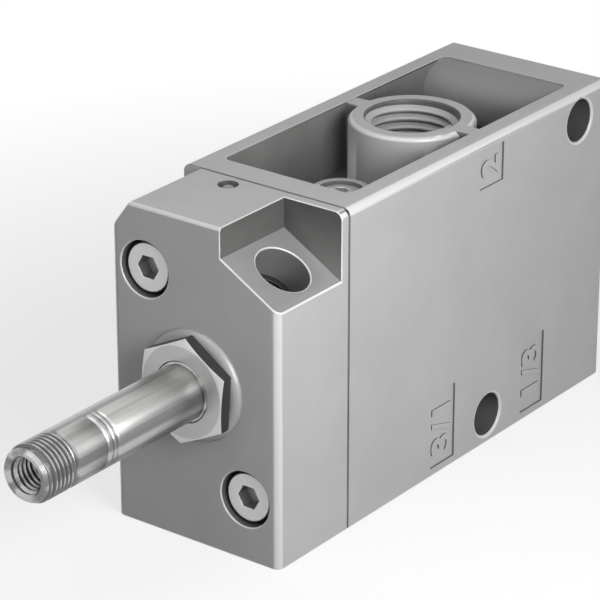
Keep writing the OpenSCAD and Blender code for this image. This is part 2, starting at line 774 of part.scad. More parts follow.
// Solid end of the tube: chamfered threaded tip, relief, pole face and pilot exhaust
module end_core() {
    outer = tube_d / 2;
    spigot = tube_bore_d / 2 - 0.01;
    chamfer = 0.8;
    thread_r = exhaust_d / 2;
    sink = 0.4;
    relief = 0.4;
    orifice = 0.6;
    lip = 1;
    ring_in = (shading_mid_d - shading_w) / 2;
    ring_out = (shading_mid_d + shading_w) / 2;
    color(steel_grey) turned([
        [thread_r + sink, tip_x],
        [outer - chamfer, tip_x],
        [outer, tip_x + chamfer],
        [outer, tip_x + tip_thread_l],
        [outer - relief, tip_x + tip_thread_l],
        [outer - relief, tip_x + tip_thread_l + relief_w],
        [outer, tip_x + tip_thread_l + relief_w],
        [outer, tube_front_x - face_gap - joint_bevel],
        [outer - joint_bevel, tube_front_x - face_gap],
        [spigot, tube_front_x - face_gap],
        [spigot, pole_x],
        [ring_out, pole_x],
        [ring_out, pole_x - shading_depth],
        [ring_in, pole_x - shading_depth],
        [ring_in, pole_x],
        [core_recess_d / 2, pole_x],
        [core_recess_d / 2, pole_x - core_recess_depth],
        [lip, pole_x - core_recess_depth],
        [orifice + 0.2, pole_x - core_recess_depth + 0.15],
        [orifice, pole_x - core_recess_depth + 0.15],
        [orifice, tip_x + exhaust_depth + thread_r - orifice],
        [thread_r, tip_x + exhaust_depth],
        [thread_r, tip_x + sink]
    ]);
}

// Copper ring in the pole face
module shading_ring() {
    inner = (shading_mid_d - shading_w) / 2 + face_gap / 2;
    outer = (shading_mid_d + shading_w) / 2 - face_gap / 2;
    color(copper_red) turned([
        [inner, pole_x - shading_depth + face_gap],
        [outer, pole_x - shading_depth + face_gap],
        [outer, pole_x],
        [inner, pole_x]
    ]);
}

// Armature with a seal at each end, bored at the front for its spring
module armature() {
    outer = armature_d / 2;
    chamfer = 0.3;
    color(steel_grey) difference() {
        turned([
            [0, armature_front_x],
            [outer - chamfer, armature_front_x],
            [outer, armature_front_x + chamfer],
            [outer, armature_rear_x - chamfer],
            [outer - chamfer, armature_rear_x],
            [0, armature_rear_x]
        ]);
        rod_x(armature_front_x - eps, armature_front_x + armature_bore_l, armature_bore_d);
        rod_x(armature_rear_x + seal_proud - nozzle_seal_l, armature_rear_x + eps, nozzle_seal_d);
        for (side = [-1, 1])
            translate([armature_front_x - eps, side * outer - 0.5, axis_z - 0.5])
                cube([armature_l + 2 * eps, 1, 1]);
    }
}

// Spring that holds the armature on the nozzle
module armature_spring() {
    color(steel_grey) translate([pole_x + face_gap, 0, axis_z]) rotate([0, 90, 0])
        coil_spring(armature_spring_r, armature_wire, armature_stroke + armature_bore_l - 2 * face_gap, 6);
}

// Seal disc that closes the nozzle
module nozzle_seal() {
    color(rubber_black) rod_x(
        armature_rear_x + seal_proud - nozzle_seal_l + face_gap,
        armature_rear_x + seal_proud - face_gap,
        nozzle_seal_d - 2 * face_gap
    );
}

// Seal plunger that closes the pilot exhaust when the armature is drawn in
module exhaust_seal() {
    color(rubber_black) rod_x(
        armature_front_x - seal_proud + face_gap,
        armature_front_x + armature_bore_l,
        exhaust_seal_d
    );
}

// Pressed-in nozzle with a raised seat lip
module pilot_nozzle() {
    outer = nozzle_d / 2 - 0.01;
    groove_x = pilot_floor_x + 1;
    color(brass_gold) turned([
        [0.5, nozzle_tip_x],
        [0.9, nozzle_tip_x],
        [nozzle_tip_d / 2, nozzle_tip_x + 0.7],
        [nozzle_tip_d / 2, pilot_floor_x],
        [outer, pilot_floor_x],
        [outer, groove_x],
        [outer - 0.6, groove_x],
        [outer - 0.6, groove_x + 1],
        [outer, groove_x + 1],
        [outer, nozzle_end_x],
        [0.5, nozzle_end_x]
    ]);
}

module nozzle_o_ring() {
    section = 0.28;
    color(rubber_black) o_ring_x(pilot_floor_x + 1.5, section, nozzle_d / 2 - seal_gap);
}

// Hand pusher with a driver slot, a groove for its O-ring and a long pin
module override_pusher() {
    head = pusher_d / 2;
    groove_top = pusher_top - 1.4;
    color(brass_gold) on_override() difference() {
        rotate_extrude() polygon([
            [0, pusher_tip],
            [0.5, pusher_tip],
            [pusher_pin_d / 2, pusher_tip + 1],
            [pusher_pin_d / 2, pusher_shoulder],
            [head, pusher_shoulder],
            [head, groove_top - 1.3],
            [head - 0.95, groove_top - 1.3],
            [head - 0.95, groove_top],
            [head, groove_top],
            [head, pusher_top - 0.3],
            [head - 0.3, pusher_top],
            [0, pusher_top]
        ]);
        translate([-head, -0.4, pusher_top - 0.8]) cube([2 * head, 0.8, 0.8 + eps]);
    }
}

module override_o_ring() {
    section = 0.45;
    color(rubber_black) on_override() translate([0, 0, pusher_top - 2.05]) rotate_extrude()
        translate([pusher_d / 2 - section - seal_gap / 2, 0]) circle(section, $fn = 32);
}

module override_spring() {
    color(steel_grey) on_override() translate([0, 0, override_bore_end + face_gap])
        coil_spring(2.05, override_wire, override_spring_l - 2 * face_gap, 3);
}

// Open retaining ring that keeps the pusher in its bore
module override_circlip() {
    outer = pusher_d / 2 + slide_gap + 0.45;
    color(steel_grey) on_override() translate([0, 0, circlip_top - circlip_t + face_gap]) difference() {
        cylinder(h = circlip_t - 2 * face_gap, r = outer);
        translate([0, 0, -eps]) cylinder(h = circlip_t + 2 * eps, r = outer - 1.1);
        translate([-0.8, -outer - eps, -eps]) cube([1.6, outer + eps, circlip_t + 2 * eps]);
    }
}

// Piston with a groove for its ring, a front stub and a socket for the stem
module piston() {
    outer = piston_bore_d / 2 - 0.08;
    groove = (piston_t - piston_groove_w) / 2;
    color(zinc_grey) turned([
        [0, cover_rear_x + face_gap],
        [piston_stub_d / 2, cover_rear_x + face_gap],
        [piston_stub_d / 2, piston_front_x],
        [outer, piston_front_x],
        [outer, piston_front_x + groove],
        [outer - 2 * piston_seal_r, piston_front_x + groove],
        [outer - 2 * piston_seal_r, piston_rear_x - groove],
        [outer, piston_rear_x - groove],
        [outer, piston_rear_x],
        [stem_d / 2 + 1, piston_rear_x],
        [stem_d / 2, piston_rear_x],
        [stem_d / 2, piston_front_x + 1],
        [0, piston_front_x + 1]
    ]);
}

module piston_seal() {
    color(rubber_black) o_ring_x(
        (piston_front_x + piston_rear_x) / 2,
        piston_seal_r - seal_gap,
        piston_bore_d / 2 - 0.08
    );
}

// Stem with a collar on the inner side of each poppet
module stem() {
    r = stem_d / 2 - 0.01;
    collar = poppet_hub_d / 2;
    color(steel_grey) turned([
        [0, piston_front_x + 1],
        [r, piston_front_x + 1],
        [r, exhaust_face_x],
        [collar, exhaust_face_x],
        [collar, exhaust_face_x + collar_t],
        [r, exhaust_face_x + collar_t],
        [r, lip_x - collar_t],
        [collar, lip_x - collar_t],
        [collar, lip_x],
        [r, lip_x],
        [r, supply_poppet_x + poppet_t + stem_tail],
        [0, supply_poppet_x + poppet_t + stem_tail]
    ]);
}

// Bush that guides and seals the stem; its windowed cage bears on the sleeve
module guide_bush() {
    outer = bush_fit_d / 2;
    flange = piston_bore_d / 2 - slide_gap;
    guide = stem_d / 2 + slide_gap;
    cage = poppet_d / 2 + 0.8;
    seal_x = (piston_bore_end + bush_cage_x) / 2;
    ring_x = piston_bore_end + 1.2;
    color(brass_gold) difference() {
        turned([
            [guide, bush_front_x],
            [flange, bush_front_x],
            [flange, piston_bore_end],
            [outer, piston_bore_end],
            [outer, ring_x],
            [outer - ring_groove_depth, ring_x],
            [outer - ring_groove_depth, ring_x + ring_groove_w],
            [outer, ring_x + ring_groove_w],
            [outer, -sleeve_half - face_gap],
            [cage, -sleeve_half - face_gap],
            [cage, bush_cage_x],
            [guide, bush_cage_x],
            [guide, seal_x + ring_groove_w / 2],
            [guide + ring_groove_depth, seal_x + ring_groove_w / 2],
            [guide + ring_groove_depth, seal_x - ring_groove_w / 2],
            [guide, seal_x - ring_groove_w / 2]
        ]);
        for (turn = [0, 90])
            translate([-lower_port_offset, 0, axis_z]) rotate([turn, 0, 0])
                cylinder(h = main_bore_d + eps, d = window_d, center = true);
    }
}

module guide_bush_seal() {
    color(rubber_black) o_ring_x(
        piston_bore_end + 1.2 + ring_groove_w / 2,
        ring_seal_r,
        bush_fit_d / 2
    );
}

// Open retaining ring in front of the bush
module bush_circlip() {
    outer = piston_bore_d / 2 + 0.55;
    color(steel_grey) difference() {
        turned([
            [outer - 1.6, bush_front_x - bush_ring_t + face_gap],
            [outer, bush_front_x - bush_ring_t + face_gap],
            [outer, bush_front_x - face_gap],
            [outer - 1.6, bush_front_x - face_gap]
        ]);
        translate([bush_front_x - bush_ring_t - eps, -2, axis_z - piston_bore_d])
            cube([bush_ring_t + 2 * eps, 4, piston_bore_d]);
    }
}

module stem_seal() {
    color(rubber_black) o_ring_x(
        (piston_bore_end + bush_cage_x) / 2,
        ring_seal_r,
        stem_d / 2 + slide_gap + ring_groove_depth - seal_gap
    );
}

// Poppet body, the seal side toward +X when dir is 1
module poppet(seat_side_x, dir, hub_l) {
    r = stem_d / 2;
    back = seat_side_x - dir * poppet_t;
    profile = [
        [r, seat_side_x],
        [poppet_d / 2, seat_side_x],
        [poppet_d / 2, back],
        [poppet_hub_d / 2, back],
        [poppet_hub_d / 2, back - dir * hub_l],
        [r, back - dir * hub_l]
    ];
    color(zinc_grey) turned(profile);
}

module exhaust_poppet() {
    poppet(exhaust_face_x - poppet_seal_t, 1, exhaust_hub_l);
}

module supply_poppet() {
    poppet(supply_poppet_x, -1, supply_hub_l);
}

// Bonded seal ring of a poppet
module poppet_seal(x0) {
    color(rubber_black) turned([
        [stem_d / 2, x0],
        [poppet_d / 2 - 0.1, x0],
        [poppet_d / 2 - 0.1, x0 + poppet_seal_t],
        [stem_d / 2, x0 + poppet_seal_t]
    ]);
}

module exhaust_poppet_seal() {
    poppet_seal(exhaust_face_x - poppet_seal_t);
}

module supply_poppet_seal() {
    poppet_seal(lip_x);
}

// Sleeve with a seat lip at each end, a window belt for the top port and two O-ring grooves
module seat_sleeve() {
    outer = bush_fit_d / 2;
    inner = seat_d / 2;
    lip = inner + 0.6;
    root = outer - ring_groove_depth;
    belt = 3.6;
    near = sleeve_seal_x - ring_groove_w / 2;
    far = sleeve_seal_x + ring_groove_w / 2;
    lip_gap = face_gap;
    color(brass_gold) difference() {
        turned([
            [inner, -lip_x + lip_gap],
            [lip, -lip_x + lip_gap],
            [lip, -sleeve_half],
            [outer, -sleeve_half],
            [outer, -far],
            [root, -far],
            [root, -near],
            [outer, -near],
            [outer, -belt],
            [root, -belt],
            [root, belt],
            [outer, belt],
            [outer, near],
            [root, near],
            [root, far],
            [outer, far],
            [outer, sleeve_half],
            [lip, sleeve_half],
            [lip, lip_x - lip_gap],
            [inner, lip_x - lip_gap]
        ]);
        for (turn = [0, 90])
            translate([0, 0, axis_z]) rotate([turn, 0, 0])
                cylinder(h = main_bore_d + eps, d = window_d, center = true);
    }
}

module seat_sleeve_seals() {
    for (side = [-1, 1])
        color(rubber_black) o_ring_x(side * sleeve_seal_x, ring_seal_r, bush_fit_d / 2);
}

// Spring that closes the supply poppet
module return_spring() {
    start = supply_poppet_x + poppet_t + face_gap;
    color(steel_grey) translate([start, 0, axis_z]) rotate([0, 90, 0])
        coil_spring(
            (return_spring_d - return_wire) / 2,
            return_wire,
            spring_pocket_end - face_gap - start,
            7
        );
}

valve_body();
cover_gasket();
pilot_cover();
cover_screws();
ball_plug();
channel_plug();
channel_plug_seal();
tube_washer();
tube_nut();
armature_tube();
tube_seal();
end_core();
shading_ring();
armature();
armature_spring();
nozzle_seal();
exhaust_seal();
pilot_nozzle();
nozzle_o_ring();
override_pusher();
override_o_ring();
override_spring();
override_circlip();
piston();
piston_seal();
stem();
guide_bush();
guide_bush_seal();
bush_circlip();
stem_seal();
exhaust_poppet();
exhaust_poppet_seal();
seat_sleeve();
seat_sleeve_seals();
supply_poppet();
supply_poppet_seal();
return_spring();
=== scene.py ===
# A 3/2-way pneumatic solenoid valve without its coil, dressed for a product photograph.
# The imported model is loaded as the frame, and each section below finishes one piece or group of pieces.
import json
import math

import bpy
from mathutils import Matrix, Quaternion, Vector

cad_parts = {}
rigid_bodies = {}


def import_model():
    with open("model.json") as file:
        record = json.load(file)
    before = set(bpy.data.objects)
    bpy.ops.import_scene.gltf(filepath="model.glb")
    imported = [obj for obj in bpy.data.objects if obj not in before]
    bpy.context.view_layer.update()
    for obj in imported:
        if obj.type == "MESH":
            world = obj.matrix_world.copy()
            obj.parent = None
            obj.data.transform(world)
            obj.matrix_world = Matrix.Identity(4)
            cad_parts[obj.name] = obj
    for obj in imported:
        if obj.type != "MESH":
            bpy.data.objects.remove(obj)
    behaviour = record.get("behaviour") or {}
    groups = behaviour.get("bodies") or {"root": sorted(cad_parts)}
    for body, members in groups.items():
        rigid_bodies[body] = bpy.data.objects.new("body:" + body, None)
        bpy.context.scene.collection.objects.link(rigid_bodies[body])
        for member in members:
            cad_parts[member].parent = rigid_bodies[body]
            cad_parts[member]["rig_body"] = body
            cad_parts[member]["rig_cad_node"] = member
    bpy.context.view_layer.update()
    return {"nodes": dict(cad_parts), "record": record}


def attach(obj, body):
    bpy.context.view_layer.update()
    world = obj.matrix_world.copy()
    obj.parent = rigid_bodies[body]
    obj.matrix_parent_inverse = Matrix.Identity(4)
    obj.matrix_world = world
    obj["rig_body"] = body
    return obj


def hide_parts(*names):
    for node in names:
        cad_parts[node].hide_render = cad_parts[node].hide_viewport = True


bpy.ops.object.select_all(action="SELECT")
bpy.ops.object.delete()
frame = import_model()

# The view
# The valve stands upright and is seen from the front left and a little above with a long lens, which
# keeps the perspective mild. Azimuth 0 looks along +Y. The place and lens were worked out from the block's
# corners, the screws and the top port.
MM = 0.001
VIEW_AZIMUTH = math.radians(-52.896)
VIEW_ELEVATION = math.radians(23.641)
CAMERA_PLACE = Vector((-347.61, -243.13, 204.12)) * MM
SENSOR_MM = 36
LENS_MM = 192.34

view_back = Vector((
    math.sin(VIEW_AZIMUTH) * math.cos(VIEW_ELEVATION),
    -math.cos(VIEW_AZIMUTH) * math.cos(VIEW_ELEVATION),
    math.sin(VIEW_ELEVATION),
))
bpy.ops.object.camera_add(location=CAMERA_PLACE)
camera = bpy.context.object
camera.rotation_mode = "QUATERNION"
camera.rotation_quaternion = (-view_back).to_track_quat("-Z", "Y")
camera.data.sensor_width = SENSOR_MM
camera.data.lens = LENS_MM
camera.data.clip_start = 0.01
camera.data.clip_end = 20
bpy.context.scene.camera = camera
bpy.context.scene.view_settings.view_transform = "Standard"


# The studio
# A white sweep and four softboxes: one overhead and the key from the numbered side, both near the front
# end, a weak one from the front, and one behind for the long highlights. The sweep keeps a soft shadow
# round the valve and is plain white farther out.
FLOOR_SIZE = 6
ROOM_WHITE = "#f4f4f3"
FLOOR_BOUNCE = "#3c3c3a"
WORLD_LEVEL = 0.2
SHADOW_SHARE = 0.3
SHADOW_REACH_MM = (60, 150)


def linear(hex_colour):
    """An sRGB hex colour as linear red, green, blue and alpha."""
    parts = [int(hex_colour[i:i + 2], 16) / 255 for i in (1, 3, 5)]
    return [p / 12.92 if p <= 0.04045 else ((p + 0.055) / 1.055) ** 2.4 for p in parts] + [1]


def add_node(tree, kind, props=None, values=None, links=None):
    """A new node with its properties, its input values and its links."""
    node = tree.nodes.new(kind)
    for name, value in (props or {}).items():
        setattr(node, name, value)
    for name, value in (values or {}).items():
        node.inputs[name].default_value = value
    for name, source in (links or {}).items():
        tree.links.new(source, node.inputs[name])
    return node


def seen_white(tree):
    """1 where the camera or a mirror-like bounce looks at the surroundings, else 0."""
    ray = add_node(tree, "ShaderNodeLightPath")
    either = add_node(tree, "ShaderNodeMath", {"operation": "MAXIMUM"}, None, {
        0: ray.outputs["Is Camera Ray"],
        1: ray.outputs["Is Glossy Ray"],
    })
    return add_node(tree, "ShaderNodeMath", {"operation": "MAXIMUM"}, None, {
        0: either.outputs[0],
        1: ray.outputs["Is Transmission Ray"],
    }).outputs[0]


world = bpy.data.worlds.new("studio_room")
bpy.context.scene.world = world
world.use_nodes = True
tree = world.node_tree
tree.nodes.clear()
room_light = add_node(tree, "ShaderNodeBackground", None, {"Color": linear(ROOM_WHITE), "Strength": WORLD_LEVEL})
room_white = add_node(tree, "ShaderNodeBackground", None, {"Color": (1, 1, 1, 1), "Strength": 1})
room = add_node(tree, "ShaderNodeMixShader", None, None, {
    0: seen_white(tree),
    1: room_light.outputs[0],
    2: room_white.outputs[0],
})
add_node(tree, "ShaderNodeOutputWorld", None, None, {"Surface": room.outputs[0]})

bpy.ops.mesh.primitive_plane_add(size=FLOOR_SIZE, location=(0, 0, 0))
sweep = bpy.context.object
sweep.name = "studio_sweep"
paper = bpy.data.materials.new("matt_white_paper")
paper.use_nodes = True
tree = paper.node_tree
tree.nodes.clear()
seen = seen_white(tree)
tint = add_node(tree, "ShaderNodeMix", {"data_type": "RGBA"}, {
    "A": linear(FLOOR_BOUNCE),
    "B": (1, 1, 1, 1),
}, {"Factor": seen})
matt = add_node(tree, "ShaderNodeBsdfDiffuse", None, None, {"Color": tint.outputs["Result"]})
glow = add_node(tree, "ShaderNodeEmission", None, {"Color": (1, 1, 1, 1), "Strength": 1})
place = add_node(tree, "ShaderNodeTexCoord").outputs["Object"]
reach = add_node(tree, "ShaderNodeVectorMath", {"operation": "LENGTH"}, None, {0: place})
white = add_node(tree, "ShaderNodeMapRange", None, {
    "From Min": SHADOW_REACH_MM[0] * MM,
    "From Max": SHADOW_REACH_MM[1] * MM,
    "To Min": 1 - SHADOW_SHARE,
    "To Max": 1,
}, {"Value": reach.outputs["Value"]})
share = add_node(tree, "ShaderNodeMath", {"operation": "MULTIPLY"}, None, {0: seen, 1: white.outputs["Result"]})
mix = add_node(tree, "ShaderNodeMixShader", None, None, {0: share.outputs[0], 1: matt.outputs[0], 2: glow.outputs[0]})
add_node(tree, "ShaderNodeOutputMaterial", None, None, {"Surface": mix.outputs[0]})
sweep.data.materials.append(paper)

SOFTBOXES = {
    "overhead_softbox": ((-90, 5, 190), (-30, 0, 40), 110, 0.055),
    "side_softbox": ((-84, -145, 95), (-27, -14, 26), 90, 0.25),
    "front_softbox": ((-560, 60, 200), (0, 0, 22), 360, 0.056),
    "rear_strip": ((440, -350, 220), (-40, -4, 26), 170, 0.1),
}
for name, (place, target, size, power) in SOFTBOXES.items():
    bpy.ops.object.light_add(type="AREA", location=Vector(place) * MM)
    lamp = bpy.context.object
    lamp.name = name
    lamp.data.shape = "SQUARE"
    lamp.data.size = size * MM
    lamp.data.energy = power
    lamp.rotation_mode = "QUATERNION"
    lamp.rotation_quaternion = (Vector(target) - Vector(place)).to_track_quat("-Z", "Y")


# Valve body
# The real one is a pressure die casting in aluminium alloy, tumbled and blasted to an even matt grey, with
# its sharp edges broken. The edge breaks get a painted highlight, and pocket, bores and walls get painted shade.
CAST_LIGHT = "#c1c2c1"
CAST_DARK = "#bbbcbb"
# The next grey is a painted highlight for the broken edges and roundings.
EDGE_HIGHLIGHT = "#e0e0df"
# The following greys are painted shade, for recesses, the rear boss and the bores.
RECESS_SHADE_LIGHT = "#7f807e"
RECESS_SHADE_DARK = "#737472"
BOSS_SHADE_LIGHT = "#909190"
BOSS_SHADE_DARK = "#8b8c8b"
BORE_SHADE_LIGHT = "#646563"
BORE_SHADE_DARK = "#585957"
METAL_SHARE = 0.12
CAST_GRAIN_MM = 0.35
CAST_CLOUD_MM = 9
EDGE_BREAK_MM = 0.18
FLAT_LIMIT = math.radians(1)
SHARP_LIMIT = math.radians(28)
SMOOTH_LIMIT = math.radians(38)


def cast_aluminium(name, light, dark, rough_low, rough_high, grain_depth):
    """Die-cast aluminium: cloudy grey from the tumbling, a fine blasted grain, soft wide highlights."""
    material = bpy.data.materials.new(name)
    material.use_nodes = True
    tree = material.node_tree
    tree.nodes.clear()
    place = add_node(tree, "ShaderNodeTexCoord").outputs["Object"]
    cloud = add_node(tree, "ShaderNodeTexNoise", None, {
        "Scale": 1 / (CAST_CLOUD_MM * MM),
        "Detail": 3,
        "Roughness": 0.55,
    }, {"Vector": place})
    grain = add_node(tree, "ShaderNodeTexNoise", None, {
        "Scale": 1 / (CAST_GRAIN_MM * MM),
        "Detail": 2,
        "Roughness": 0.6,
    }, {"Vector": place})
    tone = add_node(tree, "ShaderNodeValToRGB", None, None, {"Fac": cloud.outputs["Fac"]})
    tone.color_ramp.elements[0].position = 0.3
    tone.color_ramp.elements[0].color = linear(dark)
    tone.color_ramp.elements[1].position = 0.7
    tone.color_ramp.elements[1].color = linear(light)
    rough = add_node(tree, "ShaderNodeMapRange", None, {
        "To Min": rough_low,
        "To Max": rough_high,
    }, {"Value": grain.outputs["Fac"]})
    bump = add_node(tree, "ShaderNodeBump", None, {
        "Strength": grain_depth,
        "Distance": 0.02 * MM,
    }, {"Height": grain.outputs["Fac"]})
    shader = add_node(tree, "ShaderNodeBsdfPrincipled", None, {"Metallic": METAL_SHARE}, {
        "Base Color": tone.outputs["Color"],
        "Roughness": rough.outputs["Result"],
        "Normal": bump.outputs["Normal"],
    })
    add_node(tree, "ShaderNodeOutputMaterial", None, None, {"Surface": shader.outputs[0]})
    return material


def weigh_outward_edges(mesh, edge_share):
    """A bevel weight on each sharp outward edge: edge_share of its middle in millimetres."""
    sides = {}
    for face in mesh.polygons:
        corners = list(face.vertices)
        for start, end in zip(corners, corners[1:] + corners[:1]):
            way = mesh.vertices[end].co - mesh.vertices[start].co
            sides.setdefault((min(start, end), max(start, end)), []).append((face.normal, way))
    weights = mesh.attributes.new("bevel_weight_edge", "FLOAT", "EDGE")
    for edge in mesh.edges:
        pair = sides.get(tuple(sorted(edge.vertices)), [])
        middle = (mesh.vertices[edge.vertices[0]].co + mesh.vertices[edge.vertices[1]].co) / 2 / MM
        if len(pair) == 2:
            (first, _), (second, way) = pair
            outward = first.dot(second.cross(way)) < 0
            if outward and first.angle(second, 0) > SHARP_LIMIT:
                weights.data[edge.index].value = edge_share(middle)


def finished_copy(node, name, edge_mm, materials, segments=3, edge_share=lambda middle: 1):
    """A copy of a CAD node, merged, with its outward edges broken by edge_mm in the second material."""
    bpy.ops.object.select_all(action="DESELECT")
    piece = frame["nodes"][node].copy()
    piece.data = piece.data.copy()
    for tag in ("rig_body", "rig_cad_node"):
        del piece[tag]
    piece.name = name
    piece.parent = None
    bpy.context.scene.collection.objects.link(piece)
    piece.select_set(True)
    bpy.context.view_layer.objects.active = piece
    piece.data.materials.clear()
    for material in materials:
        piece.data.materials.append(material)
    bpy.ops.object.mode_set(mode="EDIT")
    bpy.ops.mesh.select_all(action="SELECT")
    bpy.ops.mesh.remove_doubles(threshold=0.0005 * MM)
    bpy.ops.mesh.dissolve_limited(angle_limit=FLAT_LIMIT, use_dissolve_boundaries=False)
    bpy.ops.object.mode_set(mode="OBJECT")
    if edge_mm:
        weigh_outward_edges(piece.data, edge_share)
        edge = piece.modifiers.new("broken_edges", "BEVEL")
        edge.width = edge_mm * MM
        edge.segments = segments
        edge.limit_method = "WEIGHT"
        edge.use_clamp_overlap = False
        edge.loop_slide = False
        edge.material = min(1, len(materials) - 1)
        bpy.ops.object.modifier_apply(modifier=edge.name)
    bpy.ops.object.shade_smooth_by_angle(angle=SMOOTH_LIMIT)
    flats = piece.modifiers.new("flats_stay_flat", "WEIGHTED_NORMAL")
    flats.keep_sharp = True
    bpy.ops.object.modifier_apply(modifier=flats.name)
    return piece


def give_faces(piece, index, chosen):
    """The faces whose centre, in millimetres, and normal pass the test get the material at index."""
    for face in piece.data.polygons:
        if chosen(face.center / MM, face.normal):
            face.material_index = index


cast_skin = cast_aluminium("die_cast_aluminium_blasted", CAST_LIGHT, CAST_DARK, 0.5, 0.64, 0.25)
cast_painted_edge_highlight = cast_aluminium("die_cast_aluminium_painted_edge_highlight", EDGE_HIGHLIGHT, EDGE_HIGHLIGHT, 0.36, 0.46, 0.1)
cast_painted_shade_mid = cast_aluminium("die_cast_aluminium_painted_shade_mid", RECESS_SHADE_LIGHT, RECESS_SHADE_DARK, 0.5, 0.66, 0.3)
cast_painted_shade_dark = cast_aluminium("die_cast_aluminium_painted_shade_dark", BORE_SHADE_LIGHT, BORE_SHADE_DARK, 0.4, 0.55, 0.15)
cast_painted_shade_light = cast_aluminium("die_cast_aluminium_painted_shade_light", BOSS_SHADE_LIGHT, BOSS_SHADE_DARK, 0.5, 0.64, 0.25)
CAST_FINISHES = [cast_skin, cast_painted_edge_highlight, cast_painted_shade_mid, cast_painted_shade_dark, cast_painted_shade_light]

AXIS_Z = 23.5
BLOCK_LOW = (-49.3, -14, 0)
BLOCK_HIGH = (30.2, 14, 47)
OUTER_EDGE_R = 1.25
POCKET_LOW = (-29.4, -10.7, 36.9)
POCKET_HIGH = (23.6, 10.7, 46.98)
PLUG_BOSS_TOP = 41.2
PORT_BOSS_R = 9.2
PORT_MOUTH_R = 7
LOWER_PORT_X = 11.4
SIDE_HOLES = ((22.1, 42.7), (0, 4.3))
SIDE_HOLE_R = 3.35
REAR_BOSS_R = 4.4
HOLE_EDGE_SHARE = 0.6
BODY_SEAM_X = -33.8
SEAM_EDGE_SHARE = 0.4
PANELS = {
    "2": ((-3.4, 39.9), (2.4, 45.6)),
    "3/1": ((-14.3, 1.2), (-8.5, 12.6)),
    "1/3": ((8.5, 1.2), (14.3, 12.6)),
}


def on_outer_rounding(centre, normal):
    """The rounded outer edges of the block, which get a painted highlight."""
    spans = zip(BLOCK_LOW, centre, BLOCK_HIGH)
    close = sum(c - low < OUTER_EDGE_R or high - c < OUTER_EDGE_R for low, c, high in spans)
    return close >= 2 and max(abs(part) for part in normal) < 0.965


def in_pocket(centre, normal):
    """Walls, floor and bosses of the top pocket, which get painted shade."""
    inside = all(low < c < high for low, c, high in zip(POCKET_LOW, centre, POCKET_HIGH))
    on_boss_top = centre.x < PORT_BOSS_R and centre.z > PLUG_BOSS_TOP - 0.1 and normal.z > 0.9
    return inside and not on_boss_top and math.hypot(centre.x, centre.y) > PORT_BOSS_R


def on_rear_boss(centre, normal):
    """The round boss across the rear of the pocket, round the upper mounting hole, in a lighter painted shade."""
    across = math.hypot(centre.x - SIDE_HOLES[0][0], centre.z - SIDE_HOLES[0][1])
    return in_pocket(centre, normal) and across < REAR_BOSS_R and abs(normal.y) < 0.5


def on_pocket_floor(centre, normal):
    """The floor of the top pocket, in a darker painted shade."""
    return in_pocket(centre, normal) and centre.z < POCKET_LOW[2] + 0.3 and normal.z > 0.9


def on_boss_chamfer(centre, normal):
    """The turned chamfer round the top of the port boss, which gets a painted highlight."""
    return PORT_MOUTH_R < math.hypot(centre.x, centre.y) < PORT_BOSS_R and 0.1 < normal.z < 0.9


def in_ports(centre, normal):
    """The tapped walls of the three ports, with painted shade between the turns of the thread."""
    axes = (0,) if centre.z > AXIS_Z else (LOWER_PORT_X, -LOWER_PORT_X)
    return min(math.hypot(centre.x - x, centre.y) for x in axes) < PORT_MOUTH_R and abs(normal.z) < 0.9


def in_side_hole(centre, normal):
    """The drilled walls of the two mounting holes through the block, which get painted shade."""
    apart = [math.hypot(centre.x - x, centre.z - z) for x, z in SIDE_HOLES]
    return min(apart) < SIDE_HOLE_R and abs(normal.y) < 0.1 and abs(centre.y) < 13.9


def on_panel_edge(middle):
    """The rims of the three number panels."""
    for low, high in PANELS.values():
        if middle.y < -13.6 and low[0] - 0.1 < middle.x < high[0] + 0.1 and low[1] - 0.1 < middle.z < high[1] + 0.1:
            return True
    return False


def on_panel_wall(centre, normal):
    """The low walls round the number panels, which get painted shade."""
    return abs(normal.y) < 0.1 and -14 < centre.y < -13.7 and on_panel_edge(centre)


def on_body_seam(centre, normal):
    """The small break along the joint face, painted dark as shade so that it reads as part of the dark joint."""
    return abs(centre.x - BODY_SEAM_X) < 0.12 and 0.1 < abs(normal.x) < 0.98


def body_edge_share(middle):
    """How far an edge of the body is broken: not at all at the panels and on the port boss."""
    if on_panel_edge(middle) or (math.hypot(middle.x, middle.y) < PORT_BOSS_R and middle.z > 45):
        return 0
    if abs(middle.x - BODY_SEAM_X) < 0.05:
        return SEAM_EDGE_SHARE
    at_holes = min(math.hypot(middle.x - x, middle.z - z) for x, z in SIDE_HOLES) < SIDE_HOLE_R
    return HOLE_EDGE_SHARE if at_holes else 1


body = finished_copy("valve_body", "valve_body_casting", EDGE_BREAK_MM, CAST_FINISHES,
    edge_share=body_edge_share)
# The edge roundings and the boss chamfer get a painted highlight; the pocket, ports, holes, panel walls and seam get
# painted shade.
give_faces(body, 1, on_outer_rounding)
give_faces(body, 1, on_boss_chamfer)
give_faces(body, 2, in_pocket)
give_faces(body, 4, on_rear_boss)
give_faces(body, 3, on_pocket_floor)
give_faces(body, 3, in_ports)
give_faces(body, 3, in_side_hole)
give_faces(body, 3, on_panel_wall)
give_faces(body, 3, on_body_seam)
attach(body, "valve")
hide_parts("valve_body")


# Port threads
# G 1/4 threads, 19 turns to the inch, tapped into the three main ports. The crests stand in from the wall
# at the major diameter and are slightly rounded by the tap.
G_MAJOR_R = 6.58
G_MINOR_R = 5.76
G_PITCH = 1.337
G_TURNS = 7
THREAD_STEPS = 56
PORT_TOP = 46.9
RUN_OUT_TURNS = 0.4
ROOT_SINK = 0.03


